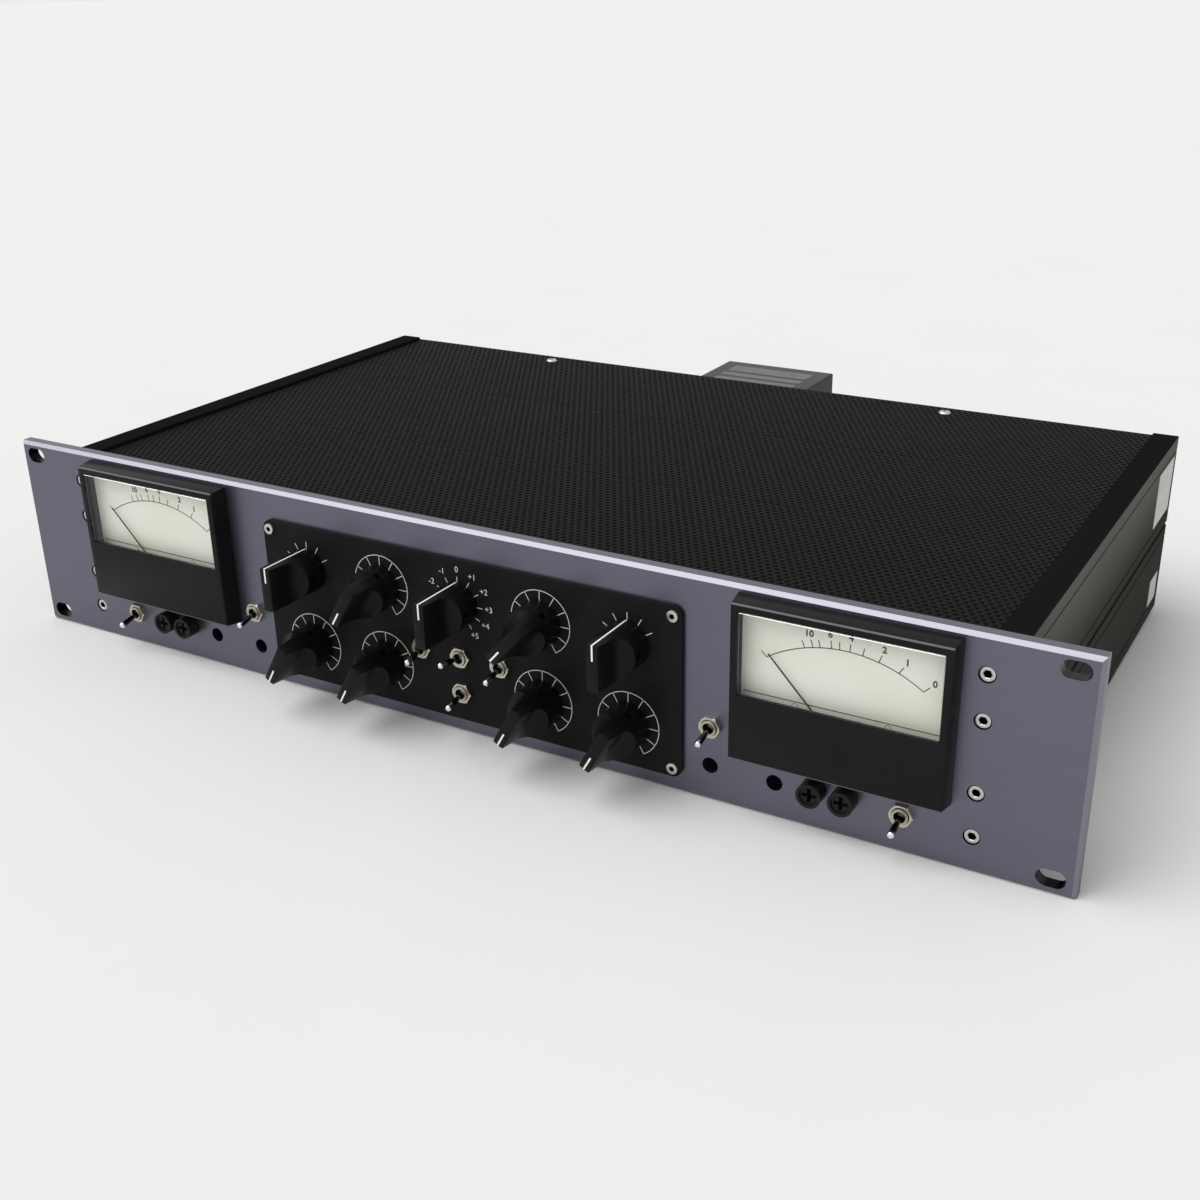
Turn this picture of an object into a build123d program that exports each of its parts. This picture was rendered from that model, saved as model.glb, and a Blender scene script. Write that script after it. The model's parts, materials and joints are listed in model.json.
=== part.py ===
from build123d import *
import os
from math import cos, radians, sin, sqrt

# Two-unit rack effects unit: an aluminium front panel with two meters and a black
# control plate, on a chassis of stacked side rails with inset covers.
# Millimetres. X runs right, Y runs back, Z runs up; Z = 0 is the panel's lower edge.

# ---- driving dimensions -------------------------------------------------------
panel_w, panel_h, panel_t = 482.6, 88.1, 5.6  # standard 19 inch, two-unit panel
panel_chamfer = 1.4
slot_x, slot_z = 465.1 / 2, 76.2 / 2  # rack slots from the panel's centre
slot_len, slot_wid = 10.2, 6.6
counterbore = 4.0  # depth of the panel screws' counterbores

chassis_w, chassis_d = 431.8, 248.4
rail_h, rail_flange = 41.2, 11.0  # each side is two rails, one on the other
rail_line = 6.3  # shallow lines this far from each rail edge
boss_x = 205.4
boss_v = (13.5, 30.3)  # screw bosses above and below the middle
cover_t, cover_drop = 1.2, 1.45  # cover face lies this far below the rail tops
vent_pitch, vent_web = 32.6, 3.6  # square vents in the top cover and the webs between them
vent_columns, vent_rows = 12, 7

plate_w, plate_h, plate_t, plate_z = 194.2, 68.9, 1.6, 41.2
plate_screw_x, plate_screw_z = 93.5, 30.8

knob_r, knob_h, knob_gap = 9.2, 24.4, 0.8
knob_pitch, knob_top, knob_low = 37.4, 57.5, 24.2
bar_half = 2.3  # half width of the knob's bar at its front
waist_half, scoop_r = 3.1, 6.6

meter_x, meter_z = 157.7, 54.7
meter_w, meter_h, meter_d, meter_draft = 79.9, 61.8, 8.0, 6.5
window_w, window_h, window_z = 72.7, 31.6, 66.1
barrel_z, barrel_r = 46.0, 22.5
needle_z, needle_len, needle_rest = 37.7, 39.2, -43.2  # rest in degrees from upright

toggle_tilt, toggle_reach = 12.5, 12.2  # lever half swing, pivot to tip
can_w, can_h, can_d, can_top = 61.3, 69.5, 47.5, 80.0

# ---- places along Y, front to back ---------------------------------------------
front_reach = panel_t + plate_t + knob_gap + knob_h
rear_reach = chassis_d + can_d
y_back = (front_reach - rear_reach) / 2  # panel's rear face; the whole is centred on Y = 0
y_face = y_back - panel_t
y_plate = y_face - plate_t
y_knob = y_plate - knob_gap
y_glass = y_face - meter_d
y_dial = y_face - 1.6
y_rear = y_back + chassis_d  # outer face of the rear panel
mid = panel_h / 2
rear_t = 2.0
rail_len = chassis_d - rear_t - 0.1

# ---- control layout: name, (x, z), pointer angle clockwise from upright ----------
knobs = {
    "left_recovery_knob": ((-2 * knob_pitch, knob_top), 0),
    "left_output_knob": ((-knob_pitch, knob_top), -148),
    "left_threshold_knob": ((-2 * knob_pitch, knob_low), -150),
    "left_attack_knob": ((-knob_pitch, knob_low), -150),
    "input_knob": ((0, knob_top), 0),
    "right_output_knob": ((knob_pitch, knob_top), -138),
    "right_attack_knob": ((knob_pitch, knob_low), -150),
    "right_recovery_knob": ((2 * knob_pitch, knob_top), 0),
    "right_threshold_knob": ((2 * knob_pitch, knob_low), -150),
}
stepped = ("left_recovery_knob", "input_knob", "right_recovery_knob")
knob_spots = [spot for spot, _ in knobs.values()]
switch_spots = [knobs[n][0] for n in stepped]
pot_spots = [spot for spot in knob_spots if spot not in switch_spots]

# name, (x, z), surface it sits on, lever direction at rest
toggles = {
    "left_bypass_lever": ((-181.0, 15.5), y_face, "down"),
    "right_bypass_lever": ((181.0, 15.5), y_face, "down"),
    "left_limit_lever": ((-108.2, 31.0), y_face, "down"),
    "right_limit_lever": ((108.2, 31.0), y_face, "down"),
    "left_matrix_lever": ((-18.7, 34.8), y_plate, "down"),
    "right_matrix_lever": ((18.7, 34.8), y_plate, "down"),
    "link_lever": ((0, 34.8), y_plate, "left"),
    "filter_lever": ((0, 19.3), y_plate, "down"),
}
toggle_spots = [spot for spot, _, _ in toggles.values()]
trimmers = {
    "left_meter_trimmer": (-108.0, 14.6),
    "left_adjust_trimmer": (-133.5, 14.4),
    "right_meter_trimmer": (108.0, 14.6),
    "right_adjust_trimmer": (133.5, 14.4),
}
trimmer_spots = list(trimmers.values())
jack_spots = [(-160.6, 16.2), (-148.8, 16.2), (148.8, 16.2), (160.6, 16.2)]
panel_screw_spots = [
    (sx * boss_x, mid + sv * v) for sx in (-1, 1) for sv in (-1, 1) for v in boss_v
]
plate_screw_spots = [
    (sx * plate_screw_x, plate_z + sz * plate_screw_z) for sx in (-1, 1) for sz in (-1, 1)
]

# rear panel layout
inlet_spot, rocker_spot, fuse_spot = (-150.0, 30.0), (-150.0, 62.0), (-108.0, 30.0)
input_spots = [(88.0, 44.0), (118.0, 44.0)]
output_spots = [(152.0, 44.0), (182.0, 44.0)]
xlr_screw = (9.5, 12.0)  # half pitch of the two screws in each connector's flange


def front(y):
    """Plane at Y = y that faces the front: sketch x is X and sketch y is Z."""
    return Plane((0, y, 0), x_dir=(1, 0, 0), z_dir=(0, -1, 0))


def level(z):
    """Horizontal plane at Z = z: sketch x is X and sketch y is Y."""
    return Plane((0, 0, z))


def save(piece, name):
    """Label a finished piece and write its STEP file."""
    piece.part.label = name
    export_step(piece.part, f"parts/{name}.step")


def slab(y, depth, spots, shape, mode=Mode.ADD):
    """Extrude the same outline at each (x, z) spot, from Y = y back by depth."""
    with BuildSketch(front(y)) as outline:
        with Locations(*spots):
            shape()
    extrude(outline.sketch, amount=-depth, mode=mode)


def disc(radius):
    return lambda: Circle(radius)


def box(width, height):
    return lambda: Rectangle(width, height)


def hexagon(across_flats):
    return lambda: RegularPolygon(across_flats / sqrt(3), 6, rotation=30)


os.makedirs("parts", exist_ok=True)

# ================================================================ front panel
with BuildPart() as front_panel:
    slab(y_face, panel_t, [(0, mid)], box(panel_w, panel_h))
    outline = front_panel.faces().sort_by(Axis.Y)[0].outer_wire().edges()
    chamfer(outline, panel_chamfer)
    with BuildSketch(front(y_face)):
        with GridLocations(2 * slot_x, 2 * slot_z, 2, 2):
            with Locations((0, mid)):
                SlotOverall(slot_len, slot_wid)
        with Locations(*[(sx * meter_x, barrel_z) for sx in (-1, 1)]):
            Circle(barrel_r + 0.3)
        with Locations(*knob_spots):
            Circle(4.9)
        with Locations(*toggle_spots):
            Circle(3.2)
        with Locations(*trimmer_spots):
            Circle(3.15)
        with Locations(*jack_spots):
            Circle(3.4)
        with Locations(*plate_screw_spots):
            Circle(1.5)
        with Locations(*panel_screw_spots):
            Circle(1.9)
    extrude(amount=-panel_t, mode=Mode.SUBTRACT)
    slab(y_face, counterbore, panel_screw_spots, disc(3.05), Mode.SUBTRACT)
save(front_panel, "front_panel")

with BuildPart() as control_plate:
    with BuildSketch(front(y_plate)):
        with Locations((0, plate_z)):
            RectangleRounded(plate_w, plate_h, 4.0)
        with Locations(*knob_spots):
            Circle(4.9, mode=Mode.SUBTRACT)
        with Locations(*[s for s in toggle_spots if abs(s[0]) < plate_w / 2]):
            Circle(3.2, mode=Mode.SUBTRACT)
        with Locations(*plate_screw_spots):
            Circle(1.7, mode=Mode.SUBTRACT)
    extrude(amount=-plate_t)
save(control_plate, "control_plate")


# socket-head screws: spots, head's Y, radius and height, shank length, key size and depth
socket_screws = (
    (panel_screw_spots, y_face + 0.3, 2.7, counterbore - 0.3, 12.0, 2.6, 2.2),
    (plate_screw_spots, y_plate - 1.2, 2.3, 1.2, 6.5, 1.8, 1.6),
)
with BuildPart() as front_screws:
    for spots, y_head, head_r, head_h, reach, key, key_depth in socket_screws:
        slab(y_head, head_h, spots, disc(head_r))
        slab(y_head + head_h, reach, spots, disc(1.4))
        slab(y_head, key_depth, spots, hexagon(key), Mode.SUBTRACT)
save(front_screws, "front_screws")

# ================================================================ chassis
with BuildPart() as right_side_rails:
    outer = chassis_w / 2
    groove_v = rail_h - cover_drop - cover_t / 2  # middle of the cover's groove
    with BuildSketch(front(y_back)):
        with Locations((outer, mid + 0.15)):  # outer wall
            Rectangle(3.0, rail_h - 0.15, align=(Align.MAX, Align.MIN))
        with Locations((outer, mid + rail_h)):  # flange over the cover's edge
            Rectangle(rail_flange, 4.6, align=(Align.MAX, Align.MAX))
        with Locations((outer, mid + 0.15)):  # flange on the other rail
            Rectangle(rail_flange, 2.4, align=(Align.MAX, Align.MIN))
        for v in boss_v:  # screw bosses on webs
            with Locations((outer - 2.5, mid + v)):
                Rectangle(8.0, 4.0, align=(Align.MAX, Align.CENTER))
            with Locations((boss_x, mid + v)):
                Circle(3.6)
                Circle(1.55, mode=Mode.SUBTRACT)
        with Locations((outer - rail_flange, mid + groove_v)):
            Rectangle(3.2, cover_t + 0.4, align=(Align.MIN, Align.CENTER), mode=Mode.SUBTRACT)
        with Locations((outer, mid + rail_line), (outer, mid + rail_h - rail_line)):
            Rectangle(1.0, 0.6, mode=Mode.SUBTRACT)
        with BuildLine():  # chamfer that makes the dark groove between the rails
            Polyline((outer + 0.1, mid), (outer + 0.1, mid + 1.2), (outer - 1.1, mid), close=True)
        make_face(mode=Mode.SUBTRACT)
    extrude(amount=-rail_len)
    mirror(about=level(mid))
save(right_side_rails, "right_side_rails")

with BuildPart() as left_side_rails:
    mirror(right_side_rails.part, about=Plane.YZ)
save(left_side_rails, "left_side_rails")

cover_w = 2 * (outer - rail_flange + 3.0)
cover_len = chassis_d - 0.7
cover_screw_spots = [(sx * 110.4, y_rear - 9.5) for sx in (-1, 1)]
with BuildPart() as bottom_cover:
    with BuildSketch(level(mid - rail_h + cover_drop)):
        with Locations((0, y_back + 0.3)):
            Rectangle(cover_w, cover_len, align=(Align.CENTER, Align.MIN))
        with Locations(*cover_screw_spots):
            Circle(1.7, mode=Mode.SUBTRACT)
    extrude(amount=cover_t)
save(bottom_cover, "bottom_cover")

# the top cover is open over the valves: a grid of webs between its plain edges
vent = vent_pitch - vent_web
vents_y = y_back + 2.4 + vent_rows * vent_pitch / 2  # middle of the grid along Y
with BuildPart() as top_cover:
    mirror(bottom_cover.part, about=level(mid))
    with BuildSketch(level(mid + rail_h - cover_drop)):
        with Locations((0, vents_y)):
            with GridLocations(vent_pitch, vent_pitch, vent_columns, vent_rows):
                Rectangle(vent, vent)
    extrude(amount=-cover_t, mode=Mode.SUBTRACT)
save(top_cover, "top_cover")

# the rear panel stands between the covers and carries a flange under each
rear_half = rail_h - cover_drop - cover_t - 0.1
with BuildPart() as rear_panel:
    slab(y_rear - rear_t, rear_t, [(0, mid)], box(chassis_w - 7, 2 * rear_half))
    with BuildSketch(level(mid + rear_half)):
        with Locations((0, y_rear - rear_t)):
            Rectangle(396, 15, align=(Align.CENTER, Align.MAX))
        with Locations(*cover_screw_spots):
            Circle(1.45, mode=Mode.SUBTRACT)
    extrude(amount=-rear_t)
    mirror(about=level(mid))
    y_cut = y_rear - rear_t
    slab(y_cut, rear_t, [inlet_spot], box(27.6, 20.6), Mode.SUBTRACT)
    slab(y_cut, rear_t, [rocker_spot], box(27.6, 13.4), Mode.SUBTRACT)
    slab(y_cut, rear_t, [fuse_spot], disc(6.6), Mode.SUBTRACT)
    slab(y_cut, rear_t, input_spots + output_spots, disc(11.9), Mode.SUBTRACT)
    slab(y_cut, rear_t, [(0, mid)], disc(9.0), Mode.SUBTRACT)
    xlr_screws = [
        (x + s * xlr_screw[0], z + s * xlr_screw[1])
        for x, z in input_spots + output_spots
        for s in (-1, 1)
    ]
    inlet_screws = [(inlet_spot[0] + s * 20.0, inlet_spot[1]) for s in (-1, 1)]
    can_z = can_top - can_h / 2
    can_screws = [(sx * 25.5, can_z + sz * 29.6) for sx in (-1, 1) for sz in (-1, 1)]
    flange_screws = xlr_screws + inlet_screws
    slab(y_cut, rear_t, flange_screws + can_screws, disc(1.45), Mode.SUBTRACT)
    slab(y_cut, rear_t, panel_screw_spots, disc(1.7), Mode.SUBTRACT)
save(rear_panel, "rear_panel")

# pan-head screws: covers to flanges, rear panel to rails, connectors and can to rear panel
with BuildPart() as chassis_screws:
    cover_face = level(mid + rail_h - cover_drop)
    for radius, rise in ((2.8, 1.3), (1.35, -5.0)):
        with BuildSketch(cover_face):
            with Locations(*cover_screw_spots):
                Circle(radius)
        extrude(amount=rise)
    with BuildSketch(cover_face.offset(1.3)):
        with Locations(*cover_screw_spots):
            Rectangle(3.2, 0.7)
            Rectangle(0.7, 3.2)
    extrude(amount=-0.8, mode=Mode.SUBTRACT)
    mirror(about=level(mid))
    slab(y_rear, 2.0, panel_screw_spots, disc(2.8))
    slab(y_rear - 10, 10, panel_screw_spots, disc(1.4))
    slab(y_rear + 2.0, 1.8, flange_screws, disc(2.6))
    slab(y_rear - 5, 7.0, flange_screws, disc(1.35))
    slab(y_rear - rear_t - 1.8, 1.8, can_screws, disc(2.6))
    slab(y_rear - rear_t, 8.0, can_screws, disc(1.35))
save(chassis_screws, "chassis_screws")

# ================================================================ meters
for side, sx in (("left", -1), ("right", 1)):
    x = sx * meter_x
    with BuildPart() as meter_case:
        with BuildSketch(front(y_face)):
            with Locations((x, meter_z)):
                Rectangle(meter_w, meter_h)
        extrude(amount=meter_d, taper=meter_draft)
        slab(y_face - 0.8, panel_t + 26.8, [(x, barrel_z)], disc(barrel_r))
        cavity = box(meter_w - 5, meter_h - 5)
        slab(y_glass + 1.6, meter_d - 2.4, [(x, meter_z)], cavity, Mode.SUBTRACT)
        slab(y_glass, 1.6, [(x, window_z)], box(window_w, window_h), Mode.SUBTRACT)
        slab(y_face - 0.8, panel_t + 24.8, [(x, barrel_z)], disc(barrel_r - 2), Mode.SUBTRACT)
    save(meter_case, f"{side}_meter_case")

    with BuildPart() as meter_window:
        slab(y_glass, 1.5, [(x, window_z)], box(window_w - 0.3, window_h - 0.3))
        rim = meter_window.faces().sort_by(Axis.Y)[0].outer_wire().edges()
        chamfer(rim, 0.4)
    save(meter_window, f"{side}_meter_window")

    # the dial hangs on two rivets in the movement's posts
    posts = [(x + s * 16.8, 47.8) for s in (-1, 1)]
    dial_low, dial_high = 46.4, 82.6
    with BuildPart() as meter_dial:
        with BuildSketch(front(y_dial)):
            with Locations((x, (dial_low + dial_high) / 2)):
                Rectangle(meter_w - 5.4, dial_high - dial_low)
        extrude(amount=-0.6)
        slab(y_dial - 0.35, 0.35, posts, disc(1.0))
    save(meter_dial, f"{side}_meter_dial")

    # magnet ring, core and frame, with the two dial posts
    y_ring = y_face + 7.0
    with BuildPart() as meter_movement:
        slab(y_ring, 12.0, [(x, needle_z)], disc(10.5))
        slab(y_ring, 12.0, [(x, needle_z)], disc(6.9), Mode.SUBTRACT)
        slab(y_ring, 12.0, [(x, needle_z)], disc(4.6))
        slab(y_ring, 5.0, [(x, needle_z)], disc(0.58), Mode.SUBTRACT)  # bearing
        slab(y_ring + 12.0, 2.5, [(x, barrel_z)], disc(barrel_r - 2.2))
        slab(y_dial + 0.65, y_ring + 12.0 - y_dial - 0.65, posts, disc(1.4))
    save(meter_movement, f"{side}_meter_movement")

    # needle with its hub, pivot shaft and moving coil, turned to its rest angle
    y_blade = y_dial - 1.3
    a = radians(needle_rest)
    blade = Plane((x, y_blade, needle_z), x_dir=(cos(a), 0, -sin(a)), z_dir=(0, -1, 0))
    with BuildPart() as needle:
        with BuildSketch(blade):
            with BuildLine():
                Polyline((-0.28, 0), (-0.18, needle_len), (0.18, needle_len), (0.28, 0), close=True)
            make_face()
            with Locations((0, -3.5)):
                Rectangle(1.6, 7.0)
        extrude(amount=0.4)
        slab(y_blade - 0.4, 2.4, [(x, needle_z)], disc(1.7))
        slab(y_blade + 2.0, y_ring - 1.4 - y_blade - 2.0, [(x, needle_z)], disc(0.7))
        slab(y_ring - 1.4, 12.6, [(x, needle_z)], disc(6.3))
        slab(y_ring - 0.7, 12.0, [(x, needle_z)], disc(5.2), Mode.SUBTRACT)
        slab(y_ring - 1.4, 5.9, [(x, needle_z)], disc(0.5))  # pivot pin
    save(needle, f"{side}_meter_needle")

# ================================================================ knobs
nut_flat, nut_t, shaft_r = 12.7, 2.2, 3.15


def pointer_knob(spot, angle):
    """Round knob whose front is cut to a bar by two scoops, with its shaft."""
    a = radians(angle)
    across = Vector(cos(a), 0, -sin(a))
    nose = Vector(sin(a), 0, cos(a))
    base = Plane((spot[0], y_knob, spot[1]), x_dir=across, z_dir=(0, -1, 0))
    section = Plane(base.origin, x_dir=across, z_dir=-nose)  # sketch y runs outward
    with BuildPart() as knob:
        with BuildSketch(base):
            Circle(knob_r)
        extrude(amount=knob_h)
        with BuildSketch(section):
            with BuildLine():
                bend_y = knob_h - 7.8
                Line((bar_half, knob_h + 1), (bar_half, knob_h))
                Line((bar_half, knob_h), (waist_half, bend_y))
                CenterArc((waist_half + scoop_r, bend_y), scoop_r, 180, 90)
                Polyline(
                    (waist_half + scoop_r, bend_y - scoop_r),
                    (waist_half + scoop_r, knob_h + 1),
                    (bar_half, knob_h + 1),
                )
            make_face()
            mirror(about=Plane.YZ)
        extrude(amount=knob_r + 1, both=True, mode=Mode.SUBTRACT)
        with BuildSketch(base):
            Circle(7.7)
        extrude(amount=4.2, mode=Mode.SUBTRACT)  # room for the nut
        with BuildSketch(base):
            Circle(shaft_r + 0.05)
        extrude(amount=15.0, mode=Mode.SUBTRACT)
        for side_dir in (across, -nose):  # two set-screw holes at right angles
            start = base.origin + side_dir * 2.0 + Vector(0, -6.7, 0)
            with BuildSketch(Plane(start, x_dir=(0, -1, 0), z_dir=side_dir)):
                Circle(1.5)
            extrude(amount=knob_r, mode=Mode.SUBTRACT)
        with BuildSketch(front(y_knob - 14.8)):
            with Locations(spot):
                Circle(shaft_r)
        extrude(amount=-(14.8 + y_back + 5.0 - y_knob))
    return knob


for name, (spot, angle) in knobs.items():
    save(pointer_knob(spot, angle), name)

bush_tip = y_plate - 2.8
with BuildPart() as potentiometers:
    slab(y_back + 0.1, 12.0, pot_spots, disc(12.0))
    slab(bush_tip, y_back + 0.1 - bush_tip, pot_spots, disc(4.75))
    lugs = [(x + dx, z - 14.0) for x, z in pot_spots for dx in (-5, 0, 5)]
    slab(y_back + 6.0, 0.8, lugs, box(2.4, 7.0))
    slab(bush_tip, y_back + 5.3 - bush_tip, pot_spots, disc(shaft_r + 0.1), Mode.SUBTRACT)
save(potentiometers, "potentiometers")

with BuildPart() as rotary_switches:
    slab(y_back + 0.1, 7.0, switch_spots, box(25.0, 25.0))
    slab(y_back + 7.1, 2.0, switch_spots, disc(15.0))
    slab(y_back + 9.1, 9.0, switch_spots, disc(4.0))
    slab(y_back + 18.1, 2.0, switch_spots, disc(15.0))
    slab(bush_tip, y_back + 0.1 - bush_tip, switch_spots, disc(4.75))
    slab(bush_tip, y_back + 5.3 - bush_tip, switch_spots, disc(shaft_r + 0.1), Mode.SUBTRACT)
save(rotary_switches, "rotary_switches")

with BuildPart() as control_nuts:
    slab(y_plate - nut_t, nut_t, knob_spots, hexagon(nut_flat))
    slab(y_plate - nut_t, nut_t, knob_spots, disc(4.85), Mode.SUBTRACT)
save(control_nuts, "control_nuts")

# ================================================================ toggle switches
bush_r, bore_r, ball_r = 3.05, 2.15, 2.05
with BuildPart() as toggle_switches:
    for spot, y_seat, throw in toggles.values():
        tip = y_seat - 2.7
        size = box(13.0, 8.0) if throw == "left" else box(8.0, 13.0)
        slab(y_back + 0.1, 11.0, [spot], size)
        slab(tip, y_back + 0.1 - tip, [spot], disc(bush_r))
        slab(tip, 8.6, [spot], disc(bore_r), Mode.SUBTRACT)
        pins = [(spot[0], spot[1] + dz) for dz in (-3.0, 0, 3.0)]
        slab(y_back + 11.1, 4.0, pins, box(1.6, 0.8))
save(toggle_switches, "toggle_switches")

with BuildPart() as toggle_nuts:
    for spot, y_seat, _ in toggles.values():
        slab(y_seat - 2.0, 2.0, [spot], hexagon(8.0))
        slab(y_seat - 2.0, 2.0, [spot], disc(bush_r + 0.1), Mode.SUBTRACT)
save(toggle_nuts, "toggle_nuts")


def toggle_lever(spot, y_seat, throw):
    """Chromed lever on a ball, with a stub behind that works the switch."""
    pivot = Vector(spot[0], y_seat + 0.1, spot[1])
    t = radians(toggle_tilt)
    lean = Vector(0, 0, -1) if throw == "down" else Vector(-1, 0, 0)
    along = Vector(0, -cos(t), 0) + lean * sin(t)
    base_r, tip_r = 0.85, 1.35  # the lever swells evenly to its round tip
    with BuildPart() as lever:
        with BuildSketch(Plane(pivot, x_dir=along, z_dir=along.cross(lean))):
            with BuildLine():
                Polyline((-4.6, 0), (-4.6, base_r), (1.0, base_r), (toggle_reach - tip_r, tip_r))
                CenterArc((toggle_reach - tip_r, 0), tip_r, 90, -90)
                Line((toggle_reach, 0), (-4.6, 0))
            make_face()
            Circle(ball_r)
            with Locations((0, -5)):
                Rectangle(12, 10, mode=Mode.SUBTRACT)
        revolve(axis=Axis(pivot, along))
    return lever


for name, (spot, y_seat, throw) in toggles.items():
    save(toggle_lever(spot, y_seat, throw), name)

# ================================================================ trimmers and jacks
trimmer_r, trimmer_set = 3.3, 0.9  # turning screw, and how far it sits behind the panel
with BuildPart() as trimmer_bodies:
    slab(y_back + 0.1, 6.5, trimmer_spots, box(9.5, 9.5))
    slab(y_back + 0.1, 4.0, trimmer_spots, disc(trimmer_r + 0.1), Mode.SUBTRACT)
    pins = [(x + dx, z) for x, z in trimmer_spots for dx in (-2.5, 0, 2.5)]
    slab(y_back + 6.6, 3.0, pins, disc(0.4))
save(trimmer_bodies, "trimmer_bodies")

for name, spot in trimmers.items():
    with BuildPart() as trimmer_screw:
        slab(y_back + trimmer_set, 3.0, [spot], disc(trimmer_r))
        slab(y_back + trimmer_set, 1.2, [spot], box(5.0, 0.9), Mode.SUBTRACT)
    save(trimmer_screw, name)

with BuildPart() as test_jacks:
    slab(y_back + 0.1, 2.5, jack_spots, hexagon(9.5))  # nuts behind the panel
    slab(y_back + 0.1, 2.5, jack_spots, disc(3.35), Mode.SUBTRACT)
    slab(y_face - 6.0, 6.0, jack_spots, disc(4.7))
    slab(y_face, panel_t + 9.0, jack_spots, disc(3.25))
    slab(y_face - 6.0, 0.9, jack_spots, disc(3.6), Mode.SUBTRACT)
    slab(y_face - 6.0, 3.6, jack_spots, box(5.4, 1.5), Mode.SUBTRACT)
    slab(y_face - 6.0, 3.6, jack_spots, box(1.5, 5.4), Mode.SUBTRACT)
    slab(y_face - 6.0, 12.0, jack_spots, disc(1.1), Mode.SUBTRACT)
save(test_jacks, "test_jacks")

# ================================================================ rear fittings
with BuildPart() as mains_inlet:
    slab(y_rear, 2.0, [inlet_spot], box(50.0, 22.5))
    slab(y_rear - 20.0, 22.0, [inlet_spot], box(27.0, 20.0))
    slab(y_rear - 15.0, 17.0, [inlet_spot], box(24.2, 16.4), Mode.SUBTRACT)
    slab(y_rear, 2.0, inlet_screws, disc(1.6), Mode.SUBTRACT)
    blades = [(inlet_spot[0] + dx, inlet_spot[1] + dz) for dx, dz in ((-7, -2), (0, 2), (7, -2))]
    slab(y_rear - 16.0, 13.0, blades, box(2.0, 4.0))
save(mains_inlet, "mains_inlet")

rocker_y = y_rear - 4.0
with BuildPart() as power_switch_frame:
    slab(y_rear, 1.6, [rocker_spot], box(30.6, 16.0))
    slab(y_rear - 16.0, 16.0, [rocker_spot], box(27.0, 13.0))
    slab(y_rear - 12.0, 13.6, [rocker_spot], box(22.4, 10.4), Mode.SUBTRACT)
    with BuildSketch(level(rocker_spot[1])):
        with Locations((rocker_spot[0], rocker_y)):
            Circle(1.28)  # pivot holes
    extrude(amount=6.2, both=True, mode=Mode.SUBTRACT)
save(power_switch_frame, "power_switch_frame")

rocker_tilt = radians(9)
rocker_plane = Plane(
    (rocker_spot[0], rocker_y, rocker_spot[1]),
    x_dir=(cos(rocker_tilt), sin(rocker_tilt), 0),
    z_dir=(0, 0, 1),
)
with BuildPart() as power_rocker:
    with BuildSketch(rocker_plane):
        with BuildLine():  # a shallow V face on a wedge
            Polyline(
                (-3, -4), (-10, 3.6), (-10, 6.2), (0, 4.8), (10, 6.2), (10, 3.6), (3, -4), close=True
            )
        make_face()
    extrude(amount=5.0, both=True)
    with BuildSketch(rocker_plane):
        Circle(1.2)
    extrude(amount=6.0, both=True)
save(power_rocker, "power_rocker")

with BuildPart() as fuse_holder:
    slab(y_rear, 2.0, [fuse_spot], disc(8.5))
    slab(y_rear - 30.0, 30.0, [fuse_spot], disc(6.4))
    slab(y_rear - 26.0, 28.0, [fuse_spot], disc(5.2), Mode.SUBTRACT)
save(fuse_holder, "fuse_holder")

with BuildPart() as fuse_cap:
    slab(y_rear + 2.3, 5.0, [fuse_spot], disc(7.0))
    slab(y_rear - 4.0, 6.3, [fuse_spot], disc(5.1))
    slab(y_rear - 24.0, 20.0, [fuse_spot], disc(2.5))
    slab(y_rear + 6.1, 1.2, [fuse_spot], box(9.0, 1.6), Mode.SUBTRACT)
save(fuse_cap, "fuse_cap")


def contact_ring(spots):
    """Three contacts of a round connector, on a circle of 3.7 mm."""
    angles = [radians(d) for d in (150, 30, 270)]
    return [(x + 3.7 * cos(a), z + 3.7 * sin(a)) for x, z in spots for a in angles]


flange = box(26.0, 31.0)
with BuildPart() as xlr_inputs:
    slab(y_rear, 2.0, input_spots, flange)
    slab(y_rear - 20.0, 22.5, input_spots, disc(11.7))
    slab(y_rear - 12.0, 14.5, input_spots, disc(9.6), Mode.SUBTRACT)
    slab(y_rear - 14.0, 16.0, input_spots, disc(7.8))
    slab(y_rear - 10.0, 12.5, contact_ring(input_spots), disc(1.35), Mode.SUBTRACT)
    slab(y_rear, 2.0, [s for s in xlr_screws if s[0] < 135], disc(1.6), Mode.SUBTRACT)
save(xlr_inputs, "xlr_inputs")

with BuildPart() as xlr_outputs:
    slab(y_rear, 2.0, output_spots, flange)
    slab(y_rear - 20.0, 22.5, output_spots, disc(11.7))
    slab(y_rear - 14.0, 16.5, output_spots, disc(9.6), Mode.SUBTRACT)
    slab(y_rear - 15.0, 11.0, contact_ring(output_spots), disc(1.2))
    slab(y_rear, 2.0, [s for s in xlr_screws if s[0] > 135], disc(1.6), Mode.SUBTRACT)
save(xlr_outputs, "xlr_outputs")

# ================================================================ mains transformer
can_wall = 1.5
with BuildPart() as transformer_can:
    slab(y_rear + 0.1, can_d - 0.1, [(0, can_z)], box(can_w, can_h))
    fillet(transformer_can.edges().filter_by(Axis.Y), 0.8)
    inner = box(can_w - 2 * can_wall, can_h - 2 * can_wall)
    slab(y_rear + 0.1, can_d - can_wall, [(0, can_z)], inner, Mode.SUBTRACT)
    slab(y_rear + 0.1, 9.0, can_screws, disc(3.9))
    slab(y_rear + 0.1, 7.0, can_screws, disc(1.45), Mode.SUBTRACT)
save(transformer_can, "transformer_can")

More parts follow.
